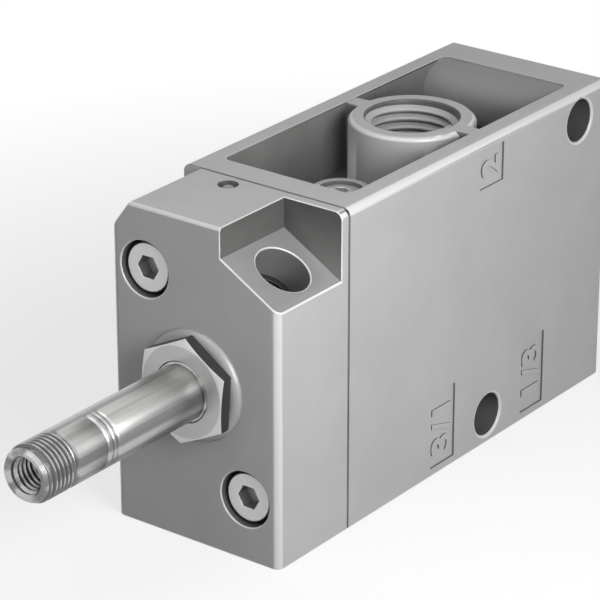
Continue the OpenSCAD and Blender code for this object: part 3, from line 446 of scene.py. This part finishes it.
def drawn_line(name, points, place):
    """A line of joined points, extruded one after another. place turns a (radius, along) pair to a point."""
    bpy.ops.object.select_all(action="DESELECT")
    corners = [place(*point) for point in points]
    bpy.ops.mesh.primitive_plane_add(size=MM, location=corners[0])
    piece = bpy.context.object
    piece.name = name
    bpy.ops.object.mode_set(mode="EDIT")
    bpy.ops.mesh.select_all(action="SELECT")
    bpy.ops.mesh.merge(type="CENTER")
    for start, end in zip(corners, corners[1:]):
        bpy.ops.mesh.extrude_region_move(TRANSFORM_OT_translate={"value": end - start})
    bpy.ops.mesh.select_all(action="SELECT")
    bpy.ops.mesh.remove_doubles(threshold=0.0005 * MM)
    bpy.ops.object.mode_set(mode="OBJECT")
    bpy.ops.object.transform_apply(location=True, rotation=False, scale=False)
    return piece


def thread_ridge(name, root_r, crest_r, pitch, turns, centre, axis, start=0):
    """A helical ridge with run-outs at both ends, from centre along axis, turned to begin at start."""
    flank = 0.42 * pitch
    crest = 0.1 * pitch
    mid_r = root_r + 0.8 * (crest_r - root_r)
    loop = [
        (root_r, -flank),
        (mid_r, -1.7 * crest),
        (crest_r, -0.6 * crest),
        (crest_r, 0.6 * crest),
        (mid_r, 1.7 * crest),
        (root_r, flank),
        (root_r, -flank),
    ]
    piece = drawn_line(name, loop, lambda r, h: Vector((r, 0, h)) * MM)
    sweep_round = piece.modifiers.new("turns", "SCREW")
    sweep_round.axis = "Z"
    sweep_round.angle = math.tau * turns
    sweep_round.screw_offset = pitch * turns * MM
    sweep_round.steps = round(THREAD_STEPS * turns)
    sweep_round.render_steps = sweep_round.steps
    sweep_round.use_merge_vertices = False
    bpy.ops.object.modifier_apply(modifier=sweep_round.name)
    sides = len(loop) - 1
    for vertex in piece.data.vertices:
        done = (vertex.index // sides) / THREAD_STEPS
        rise = min(1, min(done, turns - done) / RUN_OUT_TURNS - 0.06)
        flat = Vector((vertex.co.x, vertex.co.y, 0))
        wanted = root_r * MM + (flat.length - root_r * MM) * rise
        vertex.co += flat.normalized() * (wanted - flat.length)
    bpy.ops.object.mode_set(mode="EDIT")
    bpy.ops.mesh.select_all(action="SELECT")
    bpy.ops.mesh.fill_holes(sides=0)
    bpy.ops.mesh.normals_make_consistent(inside=False)
    bpy.ops.object.mode_set(mode="OBJECT")
    piece.rotation_mode = "QUATERNION"
    piece.rotation_quaternion = Vector(axis).to_track_quat("Z", "X") @ Quaternion((0, 0, 1), start)
    piece.location = Vector(centre) * MM
    bpy.ops.object.transform_apply(location=True, rotation=True, scale=False)
    bpy.ops.object.shade_smooth_by_angle(angle=math.radians(50))
    return piece


PORT_THREADS = {
    "port_2_thread": ((0, 0, PORT_TOP - 0.45), (0, 0, -1)),
    "port_1_thread": ((LOWER_PORT_X, 0, 0.6), (0, 0, 1)),
    "port_3_thread": ((-LOWER_PORT_X, 0, 0.6), (0, 0, 1)),
}
for name, (centre, axis) in PORT_THREADS.items():
    ridge = thread_ridge(name, G_MAJOR_R + ROOT_SINK, G_MINOR_R, G_PITCH, G_TURNS, centre, axis, math.pi)
    ridge.data.materials.append(cast_skin)
    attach(ridge, "valve")


# Port numbers
# Plain cast figures in the three shallow panels of the near side, one panel for each port or pair of ports.
# They stand no higher than the face round the panel and read upwards.
SIDE_Y = -14
PANEL_DEPTH = 0.3
FIGURE_RISE = 0.29
FIGURE_EDGE = 0.05
FIGURE_SIZES = {"2": 5.6, "3/1": 6.2, "1/3": 6.2}


def raised_figure(name, text, size, x, z):
    """A number standing in a panel of the near side, turned to read upwards."""
    bpy.ops.object.select_all(action="DESELECT")
    bpy.ops.object.text_add()
    figure = bpy.context.object
    figure.data.body = text
    figure.data.align_x = "CENTER"
    figure.data.align_y = "CENTER"
    figure.data.size = size * MM
    figure.data.space_character = 1.1
    figure.data.offset = 0.1 * MM
    figure.data.extrude = (FIGURE_RISE / 2 - FIGURE_EDGE) * MM
    figure.data.bevel_depth = FIGURE_EDGE * MM
    bpy.ops.object.convert(target="MESH")
    figure = bpy.context.object
    figure.name = name
    turn = Matrix(((0, -1, 0), (0, 0, -1), (1, 0, 0)))
    middle_y = SIDE_Y + PANEL_DEPTH - FIGURE_RISE / 2 + 0.02
    figure.matrix_world = Matrix.Translation(Vector((x, middle_y, z)) * MM) @ turn.to_4x4()
    bpy.ops.object.transform_apply(location=True, rotation=True, scale=True)
    bpy.ops.object.shade_flat()
    return figure


for text, (low, high) in PANELS.items():
    name = "port_figures_" + text.replace("/", "_")
    figure = raised_figure(name, text, FIGURE_SIZES[text], (low[0] + high[0]) / 2, (low[1] + high[1]) / 2)
    figure.data.materials.append(cast_skin)
    figure.data.materials.append(cast_painted_shade_dark)
    figure.data.materials.append(cast_painted_edge_highlight)
    # The figures' sides get painted shade, and the bevels round their faces a painted highlight.
    give_faces(figure, 1, lambda centre, normal: abs(normal.y) < 0.5)
    give_faces(figure, 2, lambda centre, normal: 0.5 < abs(normal.y) < 0.95)
    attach(figure, "valve")


# Pilot cover
# A second die casting, bolted to the front, with the override's notch in its near top corner and a bevel
# along its far top edge. Its edges are broken like the body's, with the same painted highlight, and its hollows get
# painted shade.
COVER_SEAM_X = -34.1
NOTCH_X = -35.6
NOTCH_Y = -4.5
OVERRIDE_MOUTH = Vector((-42, -9.2, 39.986))
OVERRIDE_AXIS = Vector((0, -0.5, 0.866))
OVERRIDE_RECESS = 5
COVER_SCREWS = ((8.3, 38), (-8.3, 9))
COUNTERBORE_R = 4.1
BALL_PLACE = (-36.5, 4.2)
STEP_SHADE = "#2c2d2c"


def in_notch(centre, normal):
    """The two upright walls of the corner notch, which get painted shade."""
    inner = abs(centre.y - NOTCH_Y) < 0.05 and normal.y < -0.9
    rear = abs(centre.x - NOTCH_X) < 0.05 and normal.x < -0.9
    return (inner or rear) and centre.z > 36


def in_override_bore(centre, normal):
    """The reamed bore of the hand override, in painted shade."""
    off = centre - OVERRIDE_MOUTH
    along = off.dot(OVERRIDE_AXIS)
    return along < -0.3 and (off - along * OVERRIDE_AXIS).length < 4.2


def on_override_step(centre, normal):
    """The step of that hole and all below it, painted near black as shade."""
    below = (centre - OVERRIDE_MOUTH).dot(OVERRIDE_AXIS) < -OVERRIDE_RECESS
    return in_override_bore(centre, normal) and (below or abs(normal.dot(OVERRIDE_AXIS)) > 0.1)


def in_ball_hole(centre, normal):
    """The wall of the hole round the pressed ball, in painted shade."""
    across = math.hypot(centre.x - BALL_PLACE[0], centre.y - BALL_PLACE[1])
    return across < 1.6 and 40 < centre.z < 47 and abs(normal.z) < 0.5


def on_notch_ledge(centre, normal):
    """The sloping floor of the notch round the override, in a lighter painted shade."""
    return normal.dot(OVERRIDE_AXIS) > 0.99


def in_counterbore(centre, normal):
    """The walls of the two counterbores, in painted shade."""
    apart = [math.hypot(centre.y - y, centre.z - z) for y, z in COVER_SCREWS]
    return min(apart) < COUNTERBORE_R and centre.x > -49


def on_cover_seam(centre, normal):
    """The small break along the cover's joint face, painted dark as shade like the body's."""
    return abs(centre.x - COVER_SEAM_X) < 0.12 and 0.1 < abs(normal.x) < 0.98


def cover_edge_share(middle):
    """How far an edge of the cover is broken: not at all at the mouth of the ball's hole."""
    if math.hypot(middle.x - BALL_PLACE[0], middle.y - BALL_PLACE[1]) < 1.7 and middle.z > 45:
        return 0
    return SEAM_EDGE_SHARE if abs(middle.x - COVER_SEAM_X) < 0.05 else 1


# A near-black grey, painted as shade deep in the override's bore.
cast_painted_shade_darkest = cast_aluminium("die_cast_aluminium_painted_shade_darkest", STEP_SHADE, STEP_SHADE, 0.5, 0.6, 0.15)
cover = finished_copy("pilot_cover", "pilot_cover_casting", EDGE_BREAK_MM, CAST_FINISHES + [cast_painted_shade_darkest],
    edge_share=cover_edge_share)
# Painted highlight on the edge roundings; painted shade in the notch, override bore, ball's hole, counterbores and
# along the seam.
give_faces(cover, 1, on_outer_rounding)
give_faces(cover, 3, in_notch)
give_faces(cover, 4, on_notch_ledge)
give_faces(cover, 2, in_override_bore)
give_faces(cover, 5, on_override_step)
give_faces(cover, 3, in_ball_hole)
give_faces(cover, 3, in_counterbore)
give_faces(cover, 3, on_cover_seam)
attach(cover, "valve")
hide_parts("pilot_cover")


# Cover screws and channel plug
# Zinc-plated steel, cold headed and turned, with a pressed hexagon socket. The fine rings left by the lathe
# stretch the highlights across them, and the walls of the sockets and thread roots get painted shade in a darker
# steel.
SCREW_STEEL = "#dcdddb"
ROOT_SHADE_STEEL = "#7b7c7d"
SOCKET_R = 2
LATHE_RING_MM = 0.12
RING_SQUEEZE = 0.02
RING_SPREAD = 0.07
STEEL_CLOUD_MM = 3


def turned_steel(name, colour, roughness, ring_depth, metal=0.35):
    """Turned steel: rings across the axis in roughness and bump, and a faint cloudiness in tone."""
    material = bpy.data.materials.new(name)
    material.use_nodes = True
    tree = material.node_tree
    tree.nodes.clear()
    place = add_node(tree, "ShaderNodeTexCoord").outputs["Object"]
    stretched = add_node(tree, "ShaderNodeMapping", None, {"Scale": (1, RING_SQUEEZE, RING_SQUEEZE)}, {
        "Vector": place,
    })
    rings = add_node(tree, "ShaderNodeTexNoise", None, {
        "Scale": 1 / (LATHE_RING_MM * MM),
        "Detail": 2,
    }, {"Vector": stretched.outputs["Vector"]})
    cloud = add_node(tree, "ShaderNodeTexNoise", None, {
        "Scale": 1 / (STEEL_CLOUD_MM * MM),
        "Detail": 2,
    }, {"Vector": place})
    tone = add_node(tree, "ShaderNodeValToRGB", None, None, {"Fac": cloud.outputs["Fac"]})
    base = linear(colour)
    tone.color_ramp.elements[0].color = [0.88 * c for c in base[:3]] + [1]
    tone.color_ramp.elements[1].color = base
    rough = add_node(tree, "ShaderNodeMapRange", None, {
        "To Min": roughness - RING_SPREAD,
        "To Max": roughness + RING_SPREAD,
    }, {"Value": rings.outputs["Fac"]})
    bump = add_node(tree, "ShaderNodeBump", None, {
        "Strength": ring_depth,
        "Distance": 0.01 * MM,
    }, {"Height": rings.outputs["Fac"]})
    shader = add_node(tree, "ShaderNodeBsdfPrincipled", None, {"Metallic": metal}, {
        "Base Color": tone.outputs["Color"],
        "Roughness": rough.outputs["Result"],
        "Normal": bump.outputs["Normal"],
    })
    add_node(tree, "ShaderNodeOutputMaterial", None, None, {"Surface": shader.outputs[0]})
    return material


screw_steel = turned_steel("steel_zinc_plated_screw", SCREW_STEEL, 0.36, 0.05, 0.6)
painted_shade_steel = turned_steel("steel_painted_root_shade", ROOT_SHADE_STEEL, 0.36, 0.03)


def in_hex_socket(centre, normal):
    """The pressed walls of the hexagon sockets, which get painted shade."""
    across = min(math.hypot(centre.y - y, centre.z - z) for y, z in COVER_SCREWS)
    return across < SOCKET_R and abs(normal.x) < 0.5


FINISHED = {
    "cover_screws": ("cover_screws_finished", 0.25, screw_steel, "screw_steel"),
    "channel_plug": ("channel_plug_finished", 0.12, screw_steel, "plug_steel"),
}
for node, (name, edge_mm, material, slot_name) in FINISHED.items():
    piece = finished_copy(node, name, edge_mm, [material, material, painted_shade_steel])
    if node == "cover_screws":
        give_faces(piece, 2, in_hex_socket)
    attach(piece, "valve")
    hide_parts(node)


# Armature tube
# A thin tube of non-magnetic stainless steel with a flange under the nut, drawn down over the end core,
# with a rolled groove on each side of the joint and a fine ring between them.
TUBE_R = 4
TUBE_BORE_R = 3.4
TUBE_ROOT_R = 4.3
CORE_JOINT_X = -71.5
SECOND_GROOVE_X = -69.5
FINE_RING_X = -70.35
TUBE_REAR_X = -44.9
FLANGE_R = 5.2
GROOVE_DEPTH = 0.2
TUBE_ROOT_X = -52
TURN_STEPS = 96
TUBE_STEEL = "#bab9b8"
# The streaks are drawn marks and painted reflection too: their shift and darkest tone lay dark bands along the tube
# as a painted dark reflection.
STREAK_MM = 2.2
REFLECTION_BAND_SHIFT_MM = 15
STREAK_SQUEEZE = 0.02
STREAK_AND_REFLECTION_DARKEST = 0.45


def on_valve_axis(r, x):
    """A (radius, x) pair on the valve axis."""
    return Vector((x, 0, AXIS_Z + r)) * MM


def turned_piece(name, profile):
    """A half profile of (radius, x) points spun round the valve axis."""
    piece = drawn_line(name, profile, on_valve_axis)
    bpy.ops.object.mode_set(mode="EDIT")
    bpy.ops.mesh.select_all(action="SELECT")
    bpy.ops.mesh.spin(steps=TURN_STEPS, angle=math.tau, center=(0, 0, AXIS_Z * MM), axis=(1, 0, 0))
    bpy.ops.mesh.select_all(action="SELECT")
    bpy.ops.mesh.remove_doubles(threshold=0.001 * MM)
    bpy.ops.mesh.normals_make_consistent(inside=False)
    bpy.ops.object.mode_set(mode="OBJECT")
    bpy.ops.object.shade_smooth_by_angle(angle=SHARP_LIMIT)
    return piece


def drawn_steel_painted_bands(name, colour, roughness, metal):
    """Steel drawn through a die: long streaks along X, some lighter and smoother than others, shifted and darkened as
    painted reflection bands.
    """
    material = bpy.data.materials.new(name)
    material.use_nodes = True
    tree = material.node_tree
    tree.nodes.clear()
    place = add_node(tree, "ShaderNodeTexCoord").outputs["Object"]
    stretched = add_node(tree, "ShaderNodeMapping", None, {
        "Location": (0, REFLECTION_BAND_SHIFT_MM * MM, 0),
        "Scale": (STREAK_SQUEEZE, 1, 1),
    }, {"Vector": place})
    streaks = add_node(tree, "ShaderNodeTexNoise", None, {
        "Scale": 1 / (STREAK_MM * MM),
        "Detail": 3,
    }, {"Vector": stretched.outputs["Vector"]})
    tone = add_node(tree, "ShaderNodeValToRGB", None, None, {"Fac": streaks.outputs["Fac"]})
    base = linear(colour)
    tone.color_ramp.elements[0].position = 0.4
    tone.color_ramp.elements[0].color = [STREAK_AND_REFLECTION_DARKEST * c for c in base[:3]] + [1]
    tone.color_ramp.elements[1].position = 0.56
    tone.color_ramp.elements[1].color = base
    rough = add_node(tree, "ShaderNodeMapRange", None, {
        "To Min": roughness + 0.03,
        "To Max": roughness,
    }, {"Value": streaks.outputs["Fac"]})
    shader = add_node(tree, "ShaderNodeBsdfPrincipled", None, {"Metallic": metal}, {
        "Base Color": tone.outputs["Color"],
        "Roughness": rough.outputs["Result"],
    })
    add_node(tree, "ShaderNodeOutputMaterial", None, None, {"Surface": shader.outputs[0]})
    return material


bright_steel = drawn_steel_painted_bands("stainless_steel_drawn_painted_reflection_bands", TUBE_STEEL, 0.34, 1)

tube = turned_piece("armature_tube_drawn", [
    (TUBE_BORE_R, CORE_JOINT_X),
    (TUBE_R - GROOVE_DEPTH, CORE_JOINT_X),
    (TUBE_R - 0.06, CORE_JOINT_X + 0.16),
    (TUBE_R, CORE_JOINT_X + 0.3),
    (TUBE_R, FINE_RING_X - 0.2),
    (TUBE_R - 0.09, FINE_RING_X),
    (TUBE_R, FINE_RING_X + 0.2),
    (TUBE_R, SECOND_GROOVE_X - 0.3),
    (TUBE_R - 0.06, SECOND_GROOVE_X - 0.18),
    (TUBE_R - GROOVE_DEPTH, SECOND_GROOVE_X),
    (TUBE_R - 0.06, SECOND_GROOVE_X + 0.18),
    (TUBE_R, SECOND_GROOVE_X + 0.3),
    (TUBE_R, TUBE_ROOT_X - 0.16),
    (TUBE_ROOT_R - 0.05, TUBE_ROOT_X - 0.08),
    (TUBE_ROOT_R, TUBE_ROOT_X),
    (TUBE_ROOT_R, TUBE_REAR_X - 1),
    (FLANGE_R - 0.1, TUBE_REAR_X - 1),
    (FLANGE_R, TUBE_REAR_X - 0.9),
    (FLANGE_R, TUBE_REAR_X - 0.1),
    (FLANGE_R - 0.1, TUBE_REAR_X),
    (TUBE_BORE_R + 0.15, TUBE_REAR_X),
    (TUBE_BORE_R, TUBE_REAR_X - 0.15),
    (TUBE_BORE_R, CORE_JOINT_X),
])
tube.data.materials.append(bright_steel)
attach(tube, "valve")
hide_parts("armature_tube")


# Tube washer
# A thick zinc-plated washer under the nut, with a domed rim.
WASHER_FRONT_X = -50.3
WASHER_REAR_X = -49.3
WASHER_BORE_R = 6.1
WASHER_R = 8
WASHER_STEEL = "#adaead"

washer_steel = turned_steel("steel_zinc_plated_washer", WASHER_STEEL, 0.36, 0.05, 0.15)
washer = turned_piece("tube_washer_turned", [
    (WASHER_BORE_R, WASHER_FRONT_X),
    (WASHER_R - 1.15, WASHER_FRONT_X),
    (WASHER_R - 0.75, WASHER_FRONT_X + 0.08),
    (WASHER_R - 0.4, WASHER_FRONT_X + 0.25),
    (WASHER_R - 0.14, WASHER_FRONT_X + 0.5),
    (WASHER_R, WASHER_FRONT_X + 0.8),
    (WASHER_R, WASHER_REAR_X - 0.08),
    (WASHER_R - 0.08, WASHER_REAR_X),
    (WASHER_BORE_R, WASHER_REAR_X),
    (WASHER_BORE_R, WASHER_FRONT_X),
])
washer.data.materials.append(washer_steel)
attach(washer, "valve")
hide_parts("tube_washer")


# Tube nut
# A thin hexagon nut turned from zinc-plated hexagon bar. Its face is turned bright and chamfered round the
# corners. The chamfer gets a painted highlight in lighter steel, and the flats a painted dark reflection in
# near-black steel.
NUT_FRONT_X = -52.2
NUT_REAR_X = -50.32
NUT_FLATS = 13.5
NUT_TURN = math.radians(34)
NUT_FACE_R = 6.6
NUT_BORE_R = 4.37
SHANK_R = 5.95
SHANK_END_X = -45.92
NUT_BLANK_R = 8.2
NUT_CORNER_MM = 0.09
NUT_STEEL = "#c6c7c6"
PAINTED_DARK_STEEL = "#3e3f3e"


def on_nut_chamfer(centre, normal):
    """The turned chamfer round the nut's face, which gets a painted highlight in a lighter steel."""
    return -0.99 < normal.x < -0.9


nut_steel = turned_steel("steel_zinc_plated", NUT_STEEL, 0.32, 0.05, 0.5)
painted_dark_steel = turned_steel("steel_painted_dark_reflection_and_shade", PAINTED_DARK_STEEL, 0.4, 0.03)
nut = turned_piece("tube_nut_turned", [
    (NUT_BORE_R, NUT_FRONT_X + 0.1),
    (NUT_BORE_R + 0.06, NUT_FRONT_X),
    (NUT_FACE_R - 0.05, NUT_FRONT_X),
    (NUT_FACE_R + 0.08, NUT_FRONT_X + 0.03),
    (NUT_BLANK_R, NUT_FRONT_X + 0.49),
    (NUT_BLANK_R, NUT_REAR_X),
    (SHANK_R, NUT_REAR_X),
    (SHANK_R, SHANK_END_X - 0.3),
    (SHANK_R - 0.3, SHANK_END_X),
    (NUT_BORE_R, SHANK_END_X),
    (NUT_BORE_R, NUT_FRONT_X + 0.1),
])
bpy.ops.mesh.primitive_cylinder_add(
    vertices=6,
    radius=NUT_FLATS / 2 / math.cos(math.pi / 6) * MM,
    depth=12 * MM,
    location=Vector((-48, 0, AXIS_Z)) * MM,
    rotation=(0, math.pi / 2, 0),
)
bar = bpy.context.object
bpy.ops.object.transform_apply(location=False, rotation=True, scale=True)
bar.rotation_euler.x = NUT_TURN
bpy.ops.object.transform_apply(location=True, rotation=True, scale=True)
bar.data.materials.append(nut_steel)
bar.data.materials.append(painted_dark_steel)
# The flats get the near-black steel, a painted dark reflection.
for face in bar.data.polygons:
    face.material_index = 1
nut.data.materials.append(nut_steel)
nut.data.materials.append(painted_dark_steel)
nut.data.materials.append(screw_steel)
bpy.ops.object.select_all(action="DESELECT")
nut.select_set(True)
bpy.context.view_layer.objects.active = nut
hexagon = nut.modifiers.new("hexagon_bar", "BOOLEAN")
hexagon.operation = "INTERSECT"
hexagon.object = bar
hexagon.solver = "EXACT"
bpy.ops.object.modifier_apply(modifier=hexagon.name)
bpy.data.objects.remove(bar)
corner = nut.modifiers.new("rounded_corners", "BEVEL")
corner.width = NUT_CORNER_MM * MM
corner.segments = 3
corner.limit_method = "ANGLE"
corner.angle_limit = SHARP_LIMIT
bpy.ops.object.modifier_apply(modifier=corner.name)
bpy.ops.object.shade_smooth_by_angle(angle=SMOOTH_LIMIT)
# The chamfer gets the lighter screw steel as a painted highlight.
give_faces(nut, 2, on_nut_chamfer)
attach(nut, "valve")
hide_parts("tube_nut")


# End core
# The solid end of the tube, turned from magnetic stainless steel: a chamfered tip, an M8 fine thread with a
# relief behind it, and an M5 thread inside for the pilot exhaust.
TIP_X = -83.3
CORE_R = 4
THREAD_START = 0.9
THREAD_END = 6.0
FINE_PITCH = 0.75
FINE_ROOT_R = 3.5
BORE_R = 2.5
BORE_CREST_R = 2.08
BORE_PITCH = 0.8
BORE_DEPTH = 8
POLE_X = -62.2
SPIGOT_R = 3.39

core = turned_piece("end_core_turned", [
    (BORE_R, TIP_X + 0.35),
    (BORE_R + 0.26, TIP_X + 0.06),
    (BORE_R + 0.34, TIP_X),
    (CORE_R - 0.75, TIP_X),
    (CORE_R - 0.66, TIP_X + 0.03),
    (CORE_R - 0.3, TIP_X + 0.55),
    (FINE_ROOT_R, TIP_X + THREAD_START),
    (FINE_ROOT_R, TIP_X + THREAD_START + 0.6),
    (FINE_ROOT_R, TIP_X + THREAD_END),
    (CORE_R - 0.08, TIP_X + THREAD_END + 0.28),
    (CORE_R, TIP_X + THREAD_END + 0.36),
    (CORE_R, CORE_JOINT_X - 0.32),
    (CORE_R - 0.06, CORE_JOINT_X - 0.18),
    (CORE_R - GROOVE_DEPTH, CORE_JOINT_X - 0.02),
    (SPIGOT_R, CORE_JOINT_X - 0.02),
    (SPIGOT_R, POLE_X),
    (1.6, POLE_X),
    (1.6, POLE_X - 0.45),
    (0.6, POLE_X - 0.45),
    (0.6, TIP_X + BORE_DEPTH + 1.9),
    (BORE_R, TIP_X + BORE_DEPTH),
    (BORE_R, TIP_X + 0.35),
])
core.data.materials.append(bright_steel)
core.data.materials.append(painted_shade_steel)
thread_x = (TIP_X + THREAD_START + 0.6, TIP_X + THREAD_END)
# The root of the fine thread gets painted shade.
give_faces(core, 1, lambda centre, normal: thread_x[0] < centre.x < thread_x[1] and abs(normal.x) < 0.1)
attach(core, "valve")
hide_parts("end_core")

tip_threads = {
    "tip_fine_thread": (FINE_ROOT_R - 0.01, CORE_R, FINE_PITCH, 6.5, TIP_X + THREAD_START + 0.05),
    "pilot_exhaust_thread": (BORE_R + 0.01, BORE_CREST_R, BORE_PITCH, 8.9, TIP_X + 0.6),
}
for name, (root_r, crest_r, pitch, turns, start_x) in tip_threads.items():
    ridge = thread_ridge(name, root_r, crest_r, pitch, turns, (start_x, 0, AXIS_Z), (1, 0, 0))
    ridge.data.materials.append(bright_steel)
    ridge.data.materials.append(painted_shade_steel)
    # The ridges' faces near the root get painted shade.
    deep = sorted((root_r + 0.3 * (crest_r - root_r), root_r))
    give_faces(ridge, 1, lambda centre, normal: deep[0] < math.hypot(centre.y, centre.z - AXIS_Z) < deep[1] + 0.1)
    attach(ridge, "valve")


# Small parts and insides
# Seals of nitrile rubber, guide parts and seats of brass, piston and poppets of turned aluminium, and
# springs of steel wire. They keep their CAD shapes and get their real finishes.
RUBBER = "#26272a"
BRASS = "#cdb27a"
ALLOY = "#c6c7c6"
WIRE = "#a9aaab"
COPPER = "#b5734f"
BLACK_OXIDE = "#0f1010"
GASKET = "#1d1e1e"


def moulded_rubber(name, colour):
    """Nitrile rubber: near black, with a dull moulded skin and a fine bloom."""
    material = bpy.data.materials.new(name)
    material.use_nodes = True
    tree = material.node_tree
    tree.nodes.clear()
    place = add_node(tree, "ShaderNodeTexCoord").outputs["Object"]
    bloom = add_node(tree, "ShaderNodeTexNoise", None, {"Scale": 1 / (0.8 * MM), "Detail": 3}, {"Vector": place})
    tone = add_node(tree, "ShaderNodeValToRGB", None, None, {"Fac": bloom.outputs["Fac"]})
    base = linear(colour)
    tone.color_ramp.elements[0].color = base
    tone.color_ramp.elements[1].color = [1.6 * c for c in base[:3]] + [1]
    rough = add_node(tree, "ShaderNodeMapRange", None, {
        "To Min": 0.55,
        "To Max": 0.75,
    }, {"Value": bloom.outputs["Fac"]})
    shader = add_node(tree, "ShaderNodeBsdfPrincipled", None, {"IOR": 1.52}, {
        "Base Color": tone.outputs["Color"],
        "Roughness": rough.outputs["Result"],
    })
    add_node(tree, "ShaderNodeOutputMaterial", None, None, {"Surface": shader.outputs[0]})
    return material


ball = finished_copy("ball_plug", "ball_plug_pressed", 0, [bright_steel, painted_dark_steel])
# The ball's sides below its crown get the near-black steel, painted shade in the crevice round it.
give_faces(ball, 1, lambda centre, normal: normal.z < 0.72)
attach(ball, "valve")
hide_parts("ball_plug")

finishes = {
    "seal_rubber": moulded_rubber("nitrile_rubber", RUBBER),
    "gasket": moulded_rubber("fibre_gasket", GASKET),
    "brass": turned_steel("brass_turned", BRASS, 0.3, 0.15),
    "light_alloy": turned_steel("aluminium_turned", ALLOY, 0.34, 0.15),
    "core_steel": turned_steel("magnetic_steel_ground", SCREW_STEEL, 0.3, 0.1),
    "spring_steel": turned_steel("spring_steel_wire", WIRE, 0.28, 0.05),
    "copper": turned_steel("copper_turned", COPPER, 0.3, 0.1),
    "black_steel": turned_steel("steel_black_oxide", BLACK_OXIDE, 0.4, 0.05),
    "bright_steel": bright_steel,
}
for subpart in frame["record"]["subparts"]:
    node = frame["nodes"][subpart["node"]]
    slot_name = subpart["material_slot"]
    if node.hide_render:
        continue
    node.data.materials.clear()
    if subpart["node"].endswith("circlip"):
        node.data.materials.append(finishes["black_steel"])
    else:
        node.data.materials.append(finishes[slot_name])
    bpy.ops.object.select_all(action="DESELECT")
